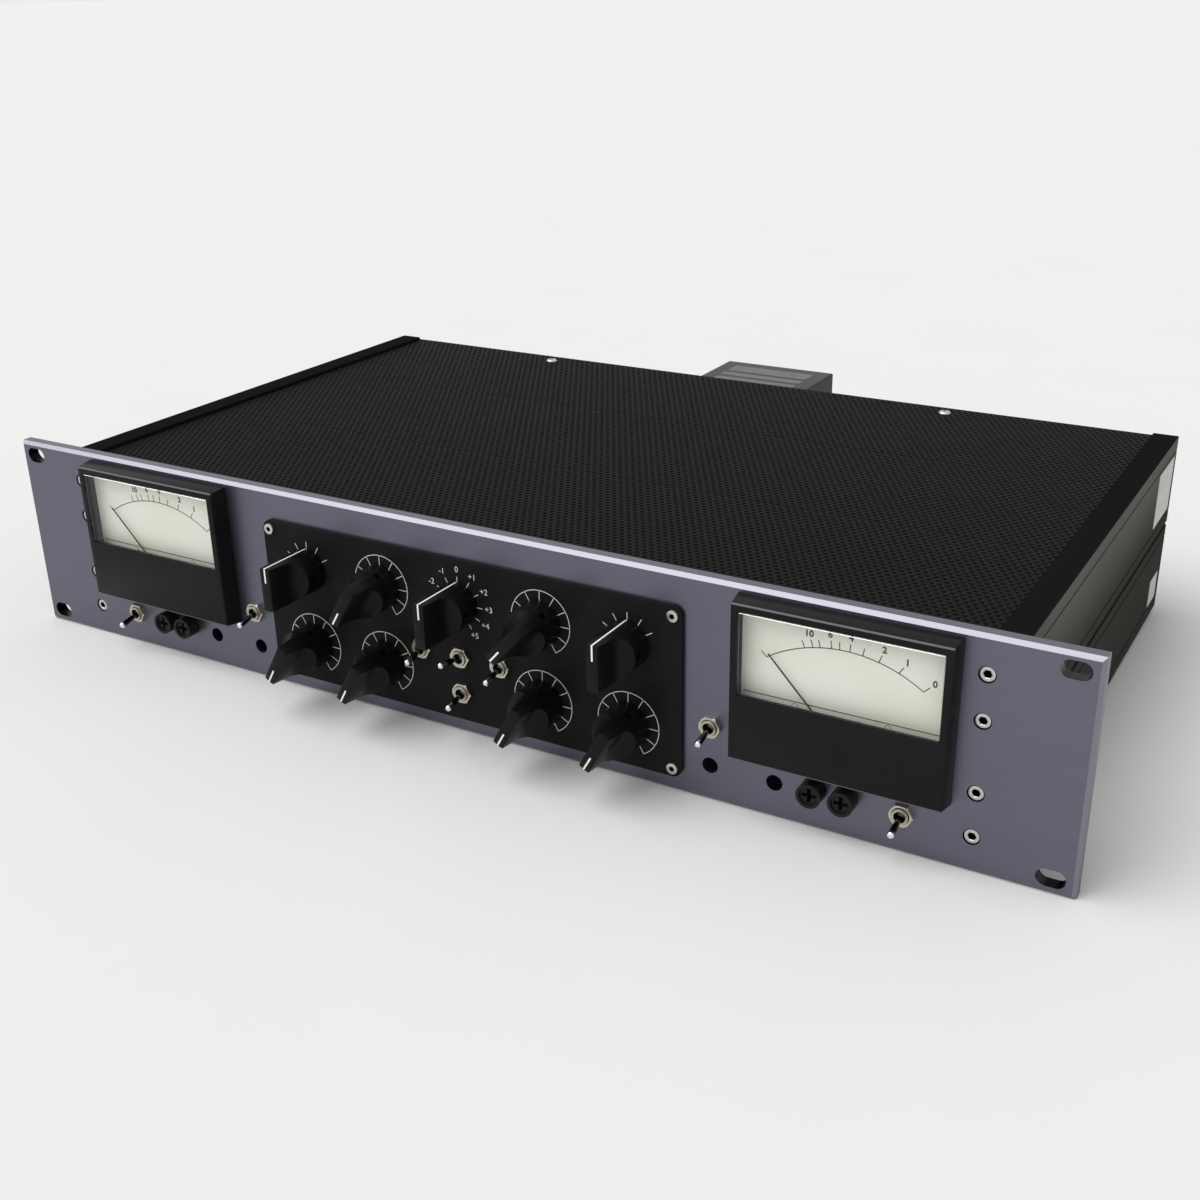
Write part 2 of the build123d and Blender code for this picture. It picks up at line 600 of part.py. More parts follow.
core_w, core_stack, leg_w, coil_w, coil_len, coil_d = 50.0, 24.0, 16.0, 33.0, 32.0, 37.0
core_y = y_rear + can_d / 2  # middle of the core along Y
with BuildPart() as transformer_core:
    # laminations: a square frame with a middle leg
    slab(core_y - core_stack / 2, core_stack, [(0, can_z)], box(core_w, core_w))
    windows = [(s * (leg_w + 9.0) / 2, can_z) for s in (-1, 1)]
    slab(core_y - core_stack / 2, core_stack, windows, box(9.0, coil_len + 1), Mode.SUBTRACT)
    # winding round the middle leg
    with BuildSketch(level(can_z - coil_len / 2)):
        with Locations((0, core_y)):
            Rectangle(coil_w, coil_d)
            Rectangle(leg_w + 0.4, core_stack + 0.4, mode=Mode.SUBTRACT)
    extrude(amount=coil_len)
save(transformer_core, "transformer_core")

# ================================================================ electronics
board_z, board_t = 11.5, 1.6
board_w, board_d = 300.0, 165.0
board_y = y_back + 125.0  # middle of the board along Y
floor_z = mid - rail_h + cover_drop + cover_t  # inner face of the bottom cover
stand_spots = [(sx * 140.0, board_y + sy * 74.0) for sx in (-1, 1) for sy in (-1, 1)]
with BuildPart() as main_board:
    with BuildSketch(level(board_z)):
        with Locations((0, board_y)):
            Rectangle(board_w, board_d)
    extrude(amount=board_t)
    with BuildSketch(level(floor_z + 0.1)):
        with Locations(*stand_spots):
            Circle(3.0)
    extrude(amount=board_z - floor_z - 0.1)
save(main_board, "main_board")

top_z = board_z + board_t
valve_spots = [(sx * x, board_y - 40.0) for sx in (-1, 1) for x in (22.0, 60.0, 98.0)]
socket_t, valve_r, valve_len = 7.0, 9.6, 46.0
with BuildPart() as board_components:
    with BuildSketch(level(top_z + 0.1)):
        with Locations(*valve_spots):  # valve sockets
            Circle(11.0)
    extrude(amount=socket_t)
    can_spots = [(sx * x, board_y + 42.0) for sx in (-1, 1) for x in (30.0, 64.0, 98.0)]
    with BuildSketch(level(top_z + 0.1)):
        with Locations(*can_spots):  # electrolytic cans
            Circle(14.0)
    extrude(amount=44.0)
    film_spots = [(sx * x, board_y) for sx in (-1, 1) for x in (22.0, 60.0, 98.0)]
    with BuildSketch(level(top_z + 0.1)):
        with Locations(*film_spots):  # film capacitors
            Rectangle(28.0, 11.0)
    extrude(amount=18.0)
save(board_components, "board_components")

with BuildPart() as valves:
    base_z = top_z + 0.1 + socket_t + 0.1
    with BuildSketch(level(base_z)):
        with Locations(*valve_spots):
            Circle(valve_r)
    extrude(amount=valve_len)
    domes = valves.edges().filter_by(GeomType.CIRCLE).group_by(Axis.Z)[-1]
    fillet(domes, 6.0)
    with BuildSketch(level(base_z + valve_len)):
        with Locations(*valve_spots):  # sealed tips
            Circle(1.6)
    extrude(amount=3.0, taper=15)
save(valves, "valves")

with BuildPart() as audio_transformers:
    with BuildSketch(level(floor_z + 0.1)):
        with Locations(*[(sx * 176.0, board_y + y) for sx in (-1, 1) for y in (-30.0, 30.0)]):
            RectangleRounded(36.0, 40.0, 2.0)
    extrude(amount=40.0)
save(audio_transformers, "audio_transformers")
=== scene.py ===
import json
from math import atan, cos, pi, radians, sin, sqrt

import bmesh
import bpy
from bpy.props import FloatProperty, FloatVectorProperty, IntProperty, PointerProperty
from mathutils import Matrix, Vector


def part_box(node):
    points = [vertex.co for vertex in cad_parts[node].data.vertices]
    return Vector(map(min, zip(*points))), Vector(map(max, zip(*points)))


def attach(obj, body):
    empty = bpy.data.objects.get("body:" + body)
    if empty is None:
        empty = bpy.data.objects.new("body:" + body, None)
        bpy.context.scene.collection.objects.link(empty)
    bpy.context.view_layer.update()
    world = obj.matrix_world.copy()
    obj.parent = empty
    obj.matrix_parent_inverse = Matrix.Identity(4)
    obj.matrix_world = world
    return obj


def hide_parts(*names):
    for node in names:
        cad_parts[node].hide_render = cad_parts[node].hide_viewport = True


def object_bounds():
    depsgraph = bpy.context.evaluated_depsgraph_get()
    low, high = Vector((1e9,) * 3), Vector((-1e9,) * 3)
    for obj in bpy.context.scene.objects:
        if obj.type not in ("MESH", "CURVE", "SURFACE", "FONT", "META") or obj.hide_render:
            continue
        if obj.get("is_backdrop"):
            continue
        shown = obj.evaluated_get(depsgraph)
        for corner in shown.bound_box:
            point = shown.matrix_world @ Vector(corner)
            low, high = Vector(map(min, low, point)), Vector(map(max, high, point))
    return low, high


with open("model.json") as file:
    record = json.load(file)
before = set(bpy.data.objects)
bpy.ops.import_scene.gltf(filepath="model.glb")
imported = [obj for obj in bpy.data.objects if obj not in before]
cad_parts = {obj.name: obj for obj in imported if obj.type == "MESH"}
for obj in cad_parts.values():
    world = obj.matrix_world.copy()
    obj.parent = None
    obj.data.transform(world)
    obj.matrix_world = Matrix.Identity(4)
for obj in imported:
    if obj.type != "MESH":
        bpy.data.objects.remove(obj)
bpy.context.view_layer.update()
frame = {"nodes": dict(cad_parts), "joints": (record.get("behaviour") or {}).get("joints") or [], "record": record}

bl_info = {
    "name": "Rack effects unit",
    "version": (1, 0, 0),
    "blender": (4, 5, 0),
    "location": "View3D > Sidebar > Rack unit",
    "description": "Dresses a two-unit rack compressor with its finishes, markings and covers",
    "category": "Add Mesh",
}

MM = 0.001
WELD = 1e-6  # vertices closer than this are one
NEAR = 1e-5  # a vertex this close to a plane lies in it
NEARLY_ROUND = pi - 0.01  # where a printed ring that starts at -pi ends
PIVOTS = {joint["child"]: Vector(joint["pos_m"]) for joint in frame["joints"]}
RANGES = {joint["child"]: joint["range_deg"] for joint in frame["joints"]}
KNOBS = [name for name in PIVOTS if name.endswith("_knob")]
STEPPED = ("left_recovery_knob", "right_recovery_knob")
SIDES = ("left", "right")


# ---- settings
def length(name, text, default):
    """A length in metres, shown with its unit."""
    return FloatProperty(
        name=name, description=text, default=default, unit="LENGTH", subtype="DISTANCE", precision=5
    )


def colour(name, text, default):
    """A plain linear colour."""
    return FloatVectorProperty(
        name=name, description=text, default=default, size=3, min=0, max=1, subtype="COLOR"
    )


def angle(name, text, degrees):
    """An angle, kept in radians and shown in degrees."""
    return FloatProperty(
        name=name, description=text, default=radians(degrees), subtype="ANGLE", unit="ROTATION"
    )


class RackFinishes(bpy.types.PropertyGroup):
    """Colours of the unit's finishes."""

    panel: colour("Panel", "Anodised front panel", (0.154, 0.154, 0.198))
    plate: colour("Plate", "Control plate's satin black", (0.012, 0.012, 0.013))
    rail: colour("Rails", "Black anodised side rails", (0.010, 0.010, 0.0105))
    # The flank colour is a painted reflection on the rails' outer faces.
    flank: colour("Rail flanks", "Blasted outer faces of the rails", (0.062, 0.060, 0.054))
    cover: colour("Covers", "Powder coat on the perforated covers", (0.011, 0.011, 0.0115))
    case: colour("Meter cases", "Moulded black meter cases", (0.010, 0.010, 0.0105))
    knob: colour("Knobs", "Moulded black knobs", (0.004, 0.004, 0.0042))
    dial: colour("Dials", "Painted meter dials", (0.95, 0.95, 0.885))
    ink: colour("Ink", "Printing on the dials", (0.015, 0.015, 0.018))
    marks: colour("Marks", "Pale printing on the plate", (0.72, 0.70, 0.62))
    pointer: colour("Pointers", "White lines on the knobs", (0.88, 0.88, 0.85))
    can: colour("Transformer can", "Enamel on the transformer can", (0.045, 0.045, 0.05))


class RackCovers(bpy.types.PropertyGroup):
    """Perforation of the top and bottom covers."""

    pitch: length("Pitch", "Distance between neighbouring holes", 3.175 * MM)
    hole: length("Hole", "Width of a hole", 1.9 * MM)
    strips: IntProperty(name="Strips", description="Pieces along each cover", default=3, min=1)


class RackScales(bpy.types.PropertyGroup):
    """Printed scales round the knobs."""

    radius: length("Radius", "Radius of the printed arcs", 13.1 * MM)
    tick: length("Tick", "Length of an arc's ticks", 4.7 * MM)
    line: length("Line", "Width of the printed lines", 0.32 * MM)
    pointer: length("Pointer", "Width of the line on each knob", 0.72 * MM)


class RackStage(bpy.types.PropertyGroup):
    """Floor, lamps and camera."""

    floor: colour("Floor", "Pale floor", (0.86, 0.845, 0.835))
    lamp: FloatProperty(name="Lamp", description="Strength of the soft main light", default=1.85)
    sky: FloatProperty(name="Sky", description="Strength of the even light", default=0.56)
    azimuth: angle("Azimuth", "Camera's turn from the front", 30.11)
    elevation: angle("Elevation", "Camera's height angle", 23.79)
    roll: angle("Roll", "Camera's turn about its view", -0.88)


class RackUnit(bpy.types.PropertyGroup):
    """All the unit's settings."""

    finishes: PointerProperty(type=RackFinishes)
    covers: PointerProperty(type=RackCovers)
    scales: PointerProperty(type=RackScales)
    stage: PointerProperty(type=RackStage)


def settings():
    """The unit's settings in the open scene."""
    return bpy.context.scene.rack_unit


# ---- node graphs
class Wire:
    """A node socket that takes part in sums."""

    def __init__(self, graph, node, socket):
        self.graph, self.node, self.socket = graph, node, socket

    def of(self, name):
        """Another output of the same node."""
        return Wire(self.graph, self.node, self.node.outputs[name])

    def __rsub__(self, other):
        return self.graph.maths("SUBTRACT", other, self)

    def __abs__(self):
        return self.graph.node("ShaderNodeMath", {0: self}, operation="ABSOLUTE")

    def pairing(operation):
        """A method that joins two wires, or a wire and a number, in one maths node."""
        return lambda self, other: self.graph.maths(operation, self, other)

    __add__ = __radd__ = pairing("ADD")
    __mul__ = __rmul__ = pairing("MULTIPLY")
    __sub__, __pow__ = pairing("SUBTRACT"), pairing("POWER")
    __gt__, __lt__ = pairing("GREATER_THAN"), pairing("LESS_THAN")


class Graph:
    """Adds nodes to a material's tree or a geometry tree."""

    def __init__(self, tree):
        self.tree = tree

    def node(self, kind, inputs=None, output=0, **options):
        """A node of this kind: its options are set first, then its sockets are fed."""
        made = self.tree.nodes.new(kind)
        for name, value in options.items():
            setattr(made, name, value)
        for name, value in (inputs or {}).items():
            socket = made.inputs[name]
            if isinstance(value, Wire):
                self.tree.links.new(value.socket, socket)
            elif value is not None:
                socket.default_value = value
        return Wire(self, made, made.outputs[output] if made.outputs else None)

    def maths(self, operation, first, second):
        return self.node("ShaderNodeMath", {0: first, 1: second}, operation=operation)


class Finish(Graph):
    """A material in the making."""

    def __init__(self, name):
        self.material = bpy.data.materials.new(name)
        self.material.use_nodes = True
        super().__init__(self.material.node_tree)
        self.tree.nodes.clear()
        self.place = self.node("ShaderNodeTexCoord", output="Object")
        self.height = None

    def stretched(self, *scale):
        """Object coordinates, scaled along each axis."""
        return self.node("ShaderNodeMapping", {"Vector": self.place, "Scale": scale})

    def noise(self, scale, detail=2.0, place=None):
        """Noise from 0 to 1."""
        sockets = {"Vector": place or self.place, "Scale": scale, "Detail": detail}
        return self.node("ShaderNodeTexNoise", sockets)

    def axis(self, name):
        """One object coordinate, in metres."""
        return self.node("ShaderNodeSeparateXYZ", {0: self.place}, output=name)

    def facing(self, name):
        """How squarely a face looks along one axis, either way, from 0 to 1."""
        normal = self.node("ShaderNodeNewGeometry", output="True Normal")
        return abs(self.node("ShaderNodeSeparateXYZ", {0: normal}, output=name))

    def ramp(self, value, low, high):
        """0 below low, 1 above high, and smooth between."""
        sockets = {"Value": value, "From Min": low, "From Max": high}
        return self.node("ShaderNodeMapRange", sockets, interpolation_type="SMOOTHSTEP")

    def between(self, value, low, high):
        """value from 0 to 1, spread over low to high."""
        return value * (high - low) + low

    def mixed(self, factor, first, second):
        """A colour between two colours."""
        first, second = (c if isinstance(c, Wire) else (*c, 1) for c in (first, second))
        sockets = {0: factor, 6: first, 7: second}
        return self.node("ShaderNodeMix", sockets, output=2, data_type="RGBA")

    def toned(self, factor, base, low, high, lift=0.0):
        """A colour between a darker and a lighter tone of the base."""
        light = [min(1, c * high + lift) for c in base]
        return self.mixed(factor, [c * low for c in base], light)

    def shaded(self, base, depth):
        """A colour that a little noise makes lighter and darker by depth."""
        return self.toned(self.noise(90, 4), base, 1 - depth, 1 + depth)

    def grazing(self, head_on=0.04):
        """How much a pane reflects, from head on to its edge, alike on both its sides."""
        facing = self.node("ShaderNodeLayerWeight", {"Blend": 0.5}, output="Facing")
        return facing ** 5 * (1 - head_on) + head_on

    def bump(self, height, distance, strength):
        """Surface relief: height from 0 to 1 over distance, in metres."""
        sockets = {"Height": height, "Distance": distance, "Strength": strength}
        self.height = self.node("ShaderNodeBump", {**sockets, "Normal": self.height})

    def surface(self, base, roughness, metallic=0.0, **others):
        """Ends the material in one Principled shader."""
        if not isinstance(base, Wire):
            base = (*base, 1)
        sockets = {"Base Color": base, "Roughness": roughness, "Metallic": metallic}
        more = {name.replace("_", " "): value for name, value in others.items()}
        sockets = {**sockets, "Normal": self.height, **more}
        return self.end(self.node("ShaderNodeBsdfPrincipled", sockets))

    def end(self, shader):
        self.node("ShaderNodeOutputMaterial", {"Surface": shader})
        return self.material

    def pane(self, tint, cover, **sheen):
        """Ends the material as a clear pane of this tint, mirror-like where cover says."""
        through = self.node("ShaderNodeBsdfTransparent", {"Color": (*tint, 1)})
        sockets = {name.replace("_", " "): value for name, value in sheen.items()}
        sockets = {**sockets, "Metallic": 1.0, "Normal": self.height}
        mirror = self.node("ShaderNodeBsdfPrincipled", sockets)
        return self.end(self.node("ShaderNodeMixShader", {0: cover, 1: through, 2: mirror}))


# ---- materials
def brushed_panel(base):
    """Anodised aluminium brushed along its length. Its bevels are paler bare aluminium with a painted highlight,
    and its rack slots' walls are painted near black as painted shade.
    """
    look = Finish("brushed_panel")
    low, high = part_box("front_panel")
    streaks = look.noise(1, 3, look.stretched(9, 2600, 2600))
    long_streaks = look.noise(1, 2, look.stretched(2.5, 520, 520))
    cloud = look.noise(14, 2)
    grain = streaks * 0.6 + long_streaks * 0.4
    look.bump(grain, 0.00003, 0.35)
    rough = look.between(grain, 0.30, 0.46) + (cloud - 0.5) * 0.06
    # Bevels: paler bare aluminium, made lighter still as a painted highlight.
    bevel = (look.facing("Y") > 0.5) * (look.facing("Y") < 0.9)
    out, back, up = abs(look.axis("X")), look.axis("Y"), look.axis("Z")
    # Rack slot walls: painted near black, a painted shade.
    wall = (out > high.x - 15 * MM) * (out < high.x - 3 * MM) * (look.facing("Y") < 0.5)
    wall = wall * (up > low.z + 2 * MM) * (up < high.z - 2 * MM) * (back > low.y + 0.3 * MM)
    bright = [c * 0.75 + 0.106 for c in base]
    shade = look.mixed(bevel, look.toned(grain, base, 0.86, 1.12), bright)
    shade = look.mixed(wall, shade, (0.008, 0.008, 0.012))
    return look.surface(shade, rough - bevel * 0.08, 1.0)


def anodised_rail(base, flank):
    """Black anodised extrusion; its outer faces take a speckled paler tone, a painted reflection, lightest near
    the top as a painted highlight.
    """
    look = Finish("anodised_rail")
    low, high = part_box("right_side_rails")
    lines = look.noise(1, 3, look.stretched(1500, 6, 1500))
    smudge = look.noise(11, 3)
    look.bump(lines, 0.00004, 0.4)
    rough = look.between(smudge, 0.30, 0.44) + lines * 0.05
    # Painted reflection: a speckled paler tone for the outer faces.
    flank_speck_and_sheen = look.toned(look.noise(2600, 3), flank, 0.6, 1.15)
    # Painted highlight: lighter towards the top, with a little noise.
    painted_top_light = look.ramp(look.axis("Z"), (low.z + high.z) / 2, high.z) * look.between(smudge, 0.7, 1)
    flank_speck_and_sheen = look.mixed(painted_top_light, flank_speck_and_sheen, [c * 2.6 for c in flank])
    outer = look.ramp(look.facing("X"), 0.6, 0.95) * (abs(look.axis("X")) > high.x - 0.004)
    shade = look.mixed(outer, look.toned(lines, base, 0.8, 1.3), flank_speck_and_sheen)
    return look.surface(shade, rough, Specular_IOR_Level=0.0)


def powder_coat(name, base, rough=0.42, grain=1500, shine=0.04):
    """Fine-grained baked paint with a little dust."""
    look = Finish(name)
    peel = look.noise(grain, 2)
    dust = look.ramp(look.noise(60, 5), 0.52, 0.8)
    look.bump(peel, 0.00006, 0.5)
    shade = look.toned(dust * 0.35, base, 1, 1.6, 0.004)
    return look.surface(shade, look.between(dust, rough, rough + 0.14), Specular_IOR_Level=shine)


def moulded(name, base, rough=0.33, shine=0.12, edge=None):
    """Moulded plastic: faint grain, soft sink marks, handling haze, and where an edge colour is given, a painted
    highlight on the rounded top and bottom edges.
    """
    look = Finish(name)
    haze = look.noise(45, 4)
    look.bump(look.noise(1900, 2), 0.00002, 0.4)
    look.bump(look.noise(70, 1), 0.0001, 0.25)
    shade = look.toned(haze, base, 0.85, 1.25, 0.002)
    if edge:
        # Painted highlight on the rounded edges that turn from the front to the top or bottom.
        out = look.facing("Y")
        painted_edge_highlight = (out > 0.2) * (out < 0.98) * (look.facing("Z") > 0.2)
        shade = look.mixed(painted_edge_highlight, shade, edge)
    return look.surface(shade, look.between(haze, rough - 0.05, rough + 0.09), Specular_IOR_Level=shine)


def plated(name, base, rough, painted_tip_highlight=None):
    """Plated or turned metal with fine scratches and dull patches; a second colour, where given, is a painted
    highlight at the lever's far end.
    """
    look = Finish(name)
    scratches = look.noise(1, 3, look.stretched(900, 5200, 900))
    patches = look.noise(160, 3)
    look.bump(scratches, 0.00001, 0.35)
    shade = look.toned(patches, base, 0.82, 1)
    if painted_tip_highlight:
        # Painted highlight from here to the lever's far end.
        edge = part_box("link_lever")[0].y + 0.0031
        shade = look.mixed(look.ramp(look.axis("Y"), edge, edge + 0.0008), painted_tip_highlight, shade)
    rough = look.between(patches, rough - 0.06, rough + 0.1) + scratches * 0.05
    return look.surface(shade, rough, 1.0)


def printed(name, base):
    """Screen-printed ink, a little uneven."""
    look = Finish(name)
    wear = look.noise(700, 3)
    look.bump(wear, 0.00001, 0.3)
    return look.surface(look.shaded(base, 0.06), look.between(wear, 0.42, 0.6))


def dial_paint(base):
    """Cream dial, warmer and darker towards its lower corners."""
    look = Finish("dial_paint")
    speck = look.noise(1400, 2)
    age = look.noise(40, 3)
    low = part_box("left_meter_dial")[0].z
    shadow = 1 - look.ramp(look.axis("Z"), low, low + 0.012)
    warm = [c * share for c, share in zip(base, (0.93, 0.9, 0.82))]
    shade = look.mixed(look.ramp(age, 0.35, 0.75) * 0.6 + shadow * 0.3, base, warm)
    look.bump(speck, 0.00001, 0.3)
    return look.surface(shade, look.between(speck, 0.46, 0.6))


def clear_window(tint):
    """Clear window: open to light, with a Fresnel reflection and faint smears; its rim bevels reflect more, a
    painted highlight strongest towards the top.
    """
    look = Finish("meter_window")
    smear = look.noise(26, 4)
    look.bump(look.noise(18, 1), 0.0002, 0.05)
    out, (low, high) = look.facing("Y"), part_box("left_meter_window")
    # Painted highlight: extra reflection on the rim bevels, growing towards the top.
    rim = (out > 0.4) * (out < 0.9) * look.ramp(look.axis("Z"), low.z, high.z)
    cover = look.grazing(0.025) + look.ramp(smear, 0.5, 0.9) * 0.008 + rim * 0.3
    rough = look.between(smear, 0.02, 0.08)
    return look.pane(tint, cover, Base_Color=(0.9, 0.9, 0.9, 1), Roughness=rough)


def valve_glass():
    """Glass envelope with a silver getter flash at its top."""
    look = Finish("valve_glass")
    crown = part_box("valves")[1].z
    top = look.ramp(look.axis("Z") + look.noise(90, 2) * 0.004, crown - 0.016, crown - 0.011)
    shade = look.mixed(top, (0.9, 0.9, 0.9), (0.55, 0.54, 0.52))
    edge = look.grazing()
    cover = edge + (1 - edge) * top
    return look.pane((0.93, 0.94, 0.93), cover, Base_Color=shade, Roughness=0.06)


def circuit_board():
    """Green laminate with pale copper tracks and solder pads."""
    look = Finish("circuit_board")
    cells = {"Vector": look.stretched(1, 1, 0), "Scale": 70.0, "Randomness": 0.85}
    walls = look.node("ShaderNodeTexVoronoi", cells, distance="MANHATTAN", feature="DISTANCE_TO_EDGE")
    pads = look.node("ShaderNodeTexVoronoi", {"Vector": look.stretched(1, 1, 0), "Scale": 190.0})
    track = (walls < 0.07) * 0.7
    pad = pads < 0.16
    green = look.mixed(track, (0.012, 0.09, 0.04), (0.035, 0.2, 0.08))
    shade = look.mixed(pad, green, (0.55, 0.55, 0.53))
    look.bump(track, 0.00004, 0.5)
    return look.surface(shade, 0.38 - pad * 0.1, pad * 1.0)


def laminations():
    """Stacked core plates with amber varnish."""
    look = Finish("laminations")
    stripes = {"Vector": look.place, "Scale": 160.0, "Distortion": 0.4, "Detail": 2.0}
    bands = look.node("ShaderNodeTexWave", stripes, output="Fac", bands_direction="Y")
    varnish = look.noise(70, 4)
    look.bump(bands, 0.0002, 0.6)
    shade = look.mixed(varnish, (0.09, 0.05, 0.025), (0.24, 0.15, 0.08))
    return look.surface(shade, look.between(bands, 0.35, 0.6), 0.4)


def sleeved(base):
    """Shrink sleeve with a pale stripe, as on capacitors."""
    look = Finish("sleeved")
    mark = look.node("ShaderNodeTexWave", {"Vector": look.place, "Scale": 9.0}, output="Fac")
    stripe = look.ramp(mark, 0.93, 0.97)
    look.bump(look.noise(400, 2), 0.00008, 0.4)
    shade = look.mixed(stripe, look.shaded(base, 0.2), (0.5, 0.5, 0.48))
    return look.surface(shade, look.between(look.noise(60), 0.3, 0.45))


def blank_paper(name, base):
    """Blank sticker or label field, faintly soiled."""
    look = Finish(name)
    soil = look.ramp(look.noise(120, 5), 0.5, 0.8)
    look.bump(look.noise(1200, 3), 0.00002, 0.4)
    return look.surface(look.toned(soil * 0.5, base, 1, 0.8), 0.5 + soil * 0.15)


# ---- mesh helpers
def linked(name, data):
    """A new object in the scene."""
    host = bpy.data.objects.new(name, data)
    bpy.context.scene.collection.objects.link(host)
    return host


def evaluated(host):
    """What an object's modifiers make of it, as a mesh of its own."""
    depsgraph = bpy.context.evaluated_depsgraph_get()
    return bpy.data.meshes.new_from_object(host.evaluated_get(depsgraph), depsgraph=depsgraph)


def placed(mesh, name, materials, body="unit"):
    """Makes a mesh a finished piece that rides on a body."""
    piece = linked(name, mesh)
    if not mesh.materials:
        for material in materials:
            mesh.materials.append(material)
    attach(piece, body)
    return piece


def dressed(mesh, name, node, *extra, body="unit", smooth=None):
    """A finished piece that takes a CAD node's place, with its finish; the node's record slot is looked up but not
    used, and the node is hidden.
    """
    piece = placed(mesh, name, [finish_of(node), *extra], body)
    if smooth:
        mesh.shade_smooth()
        mesh.set_sharp_from_angle(angle=radians(smooth))
    slot_of(node)
    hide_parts(node)


def opened(mesh, weld=0):
    """A bmesh from a mesh, with vertices closer than weld made one."""
    shape = bmesh.new()
    shape.from_mesh(mesh)
    if weld:
        bmesh.ops.remove_doubles(shape, verts=shape.verts[:], dist=weld)
    return shape


def softened(shape, edges, offset, segments, **more):
    """Rounds these edges."""
    more = {"segments": segments, "profile": 0.5, "affect": "EDGES", **more}
    bmesh.ops.bevel(shape, geom=edges, offset=offset, **more)


def to_mesh(shape, name):
    """Turns a bmesh into a mesh and frees it."""
    mesh = bpy.data.meshes.new(name)
    shape.to_mesh(mesh)
    shape.free()
    return mesh


def add_prism(shape, outline, low, high, caps=None):
    """
    A closed prism: outline is a list of (x, z), spanned from y = low to y = high. Each end is
    one face, or the faces whose corners' numbers caps lists.
    """
    front, back = ([shape.verts.new((x, y, z)) for x, z in outline] for y in (low, high))
    faces = []
    for cap in caps or [range(len(outline))]:
        faces.append(shape.faces.new([front[i] for i in cap]))
        faces.append(shape.faces.new([back[i] for i in reversed(cap)]))
    for i in range(len(outline)):
        j = (i + 1) % len(outline)
        faces.append(shape.faces.new((front[j], front[i], back[i], back[j])))
    bmesh.ops.recalc_face_normals(shape, faces=faces)


def add_stroke(shape, start, end, width, low, high):
    """A printed line from start to end, both (x, z)."""
    along = Vector((end[0] - start[0], end[1] - start[1])).normalized()
    side = Vector((-along.y, along.x)) * width / 2
    corners = [Vector(start) + side, Vector(end) + side, Vector(end) - side, Vector(start) - side]
    add_prism(shape, [tuple(c) for c in corners], low, high)


def polar(centre, radius, angle):
    """(x, z) at an angle clockwise from upright, in radians."""
    return centre[0] + radius * sin(angle), centre[1] + radius * cos(angle)


def add_arc(shape, centre, radius, first, last, width, low, high, steps=48):
    """A printed arc between two angles clockwise from upright."""
    turns = [first + (last - first) * i / steps for i in range(steps + 1)]
    outer = [polar(centre, radius + width / 2, t) for t in turns]
    inner = [polar(centre, radius - width / 2, t) for t in reversed(turns)]
    last_corner = 2 * steps + 1
    caps = [(i, i + 1, last_corner - i - 1, last_corner - i) for i in range(steps)]
    add_prism(shape, outer + inner, low, high, caps)


def add_figures(shape, figures, size, low, high, weight=0.0):
    """Plain numbers as raised print: figures is a list of (text, x, z)."""
    for text, x, z in figures:
        curve = bpy.data.curves.new("figure", "FONT")
        curve.body = text
        curve.size = size
        curve.align_x = curve.align_y = "CENTER"
        curve.resolution_u = 3
        curve.offset = weight
        curve.extrude = (high - low) / 2
        host = linked("figure", curve)
        mesh = evaluated(host)
        bpy.data.objects.remove(host)
        mesh.transform(Matrix.Translation((x, (low + high) / 2, z)) @ Matrix.Rotation(pi / 2, 4, "X"))
        shape.from_mesh(mesh)
        bpy.data.meshes.remove(mesh)
    bmesh.ops.remove_doubles(shape, verts=shape.verts[:], dist=1e-7)


# ---- geometry trees
class Growth(Graph):
    """A geometry tree with named inputs, in the making."""

    def __init__(self, name, inputs):
        super().__init__(bpy.data.node_groups.new(name, "GeometryNodeTree"))
        shape = {"Geometry": "Geometry"}
        for way, sockets in (("OUTPUT", shape), ("INPUT", {**shape, **inputs})):
            for label, kind in sockets.items():
                socket_type = f"NodeSocket{kind}"
                self.tree.interface.new_socket(name=label, in_out=way, socket_type=socket_type)
        self.source = self.node("NodeGroupInput")

    def given(self, name):
        return self.source.of(name)

    def vector(self, x=0.0, y=0.0, z=0.0):
        return self.node("ShaderNodeCombineXYZ", {"X": x, "Y": y, "Z": z})

    def moved(self, geometry, offset=None, turn=None):
        sockets = {"Geometry": geometry, "Translation": offset, "Rotation": turn}
        return self.node("GeometryNodeTransform", sockets)

    def end(self, geometry):
        """Realizes the copies, gives them their material and closes the tree."""
        whole = self.node("GeometryNodeRealizeInstances", {"Geometry": geometry})
        sockets = {"Geometry": whole, "Material": self.given("Material")}
        self.node("NodeGroupOutput", {"Geometry": self.node("GeometryNodeSetMaterial", sockets)})
        return self.tree

    def welded(self, geometry):
        """A geometry whose neighbouring cells share their edges."""
        sockets = {"Geometry": geometry, "Distance": 0.02 * MM}
        return self.node("GeometryNodeMergeByDistance", sockets)

    def joined(self, first, second):
        """Two geometries as one."""
        both = self.node("GeometryNodeJoinGeometry", {"Geometry": first})
        self.tree.links.new(second.socket, both.node.inputs[0])
        return both

    def copied(self, points, part, **more):
        """The same part at each point."""
        sockets = {"Points": points, "Instance": part, **more}
        return self.node("GeometryNodeInstanceOnPoints", sockets)

    def swept(self, curve, profile, caps=False):
        """A profile drawn along a curve."""
        sockets = {"Curve": curve, "Profile Curve": profile, "Fill Caps": caps}
        return self.node("GeometryNodeCurveToMesh", sockets)


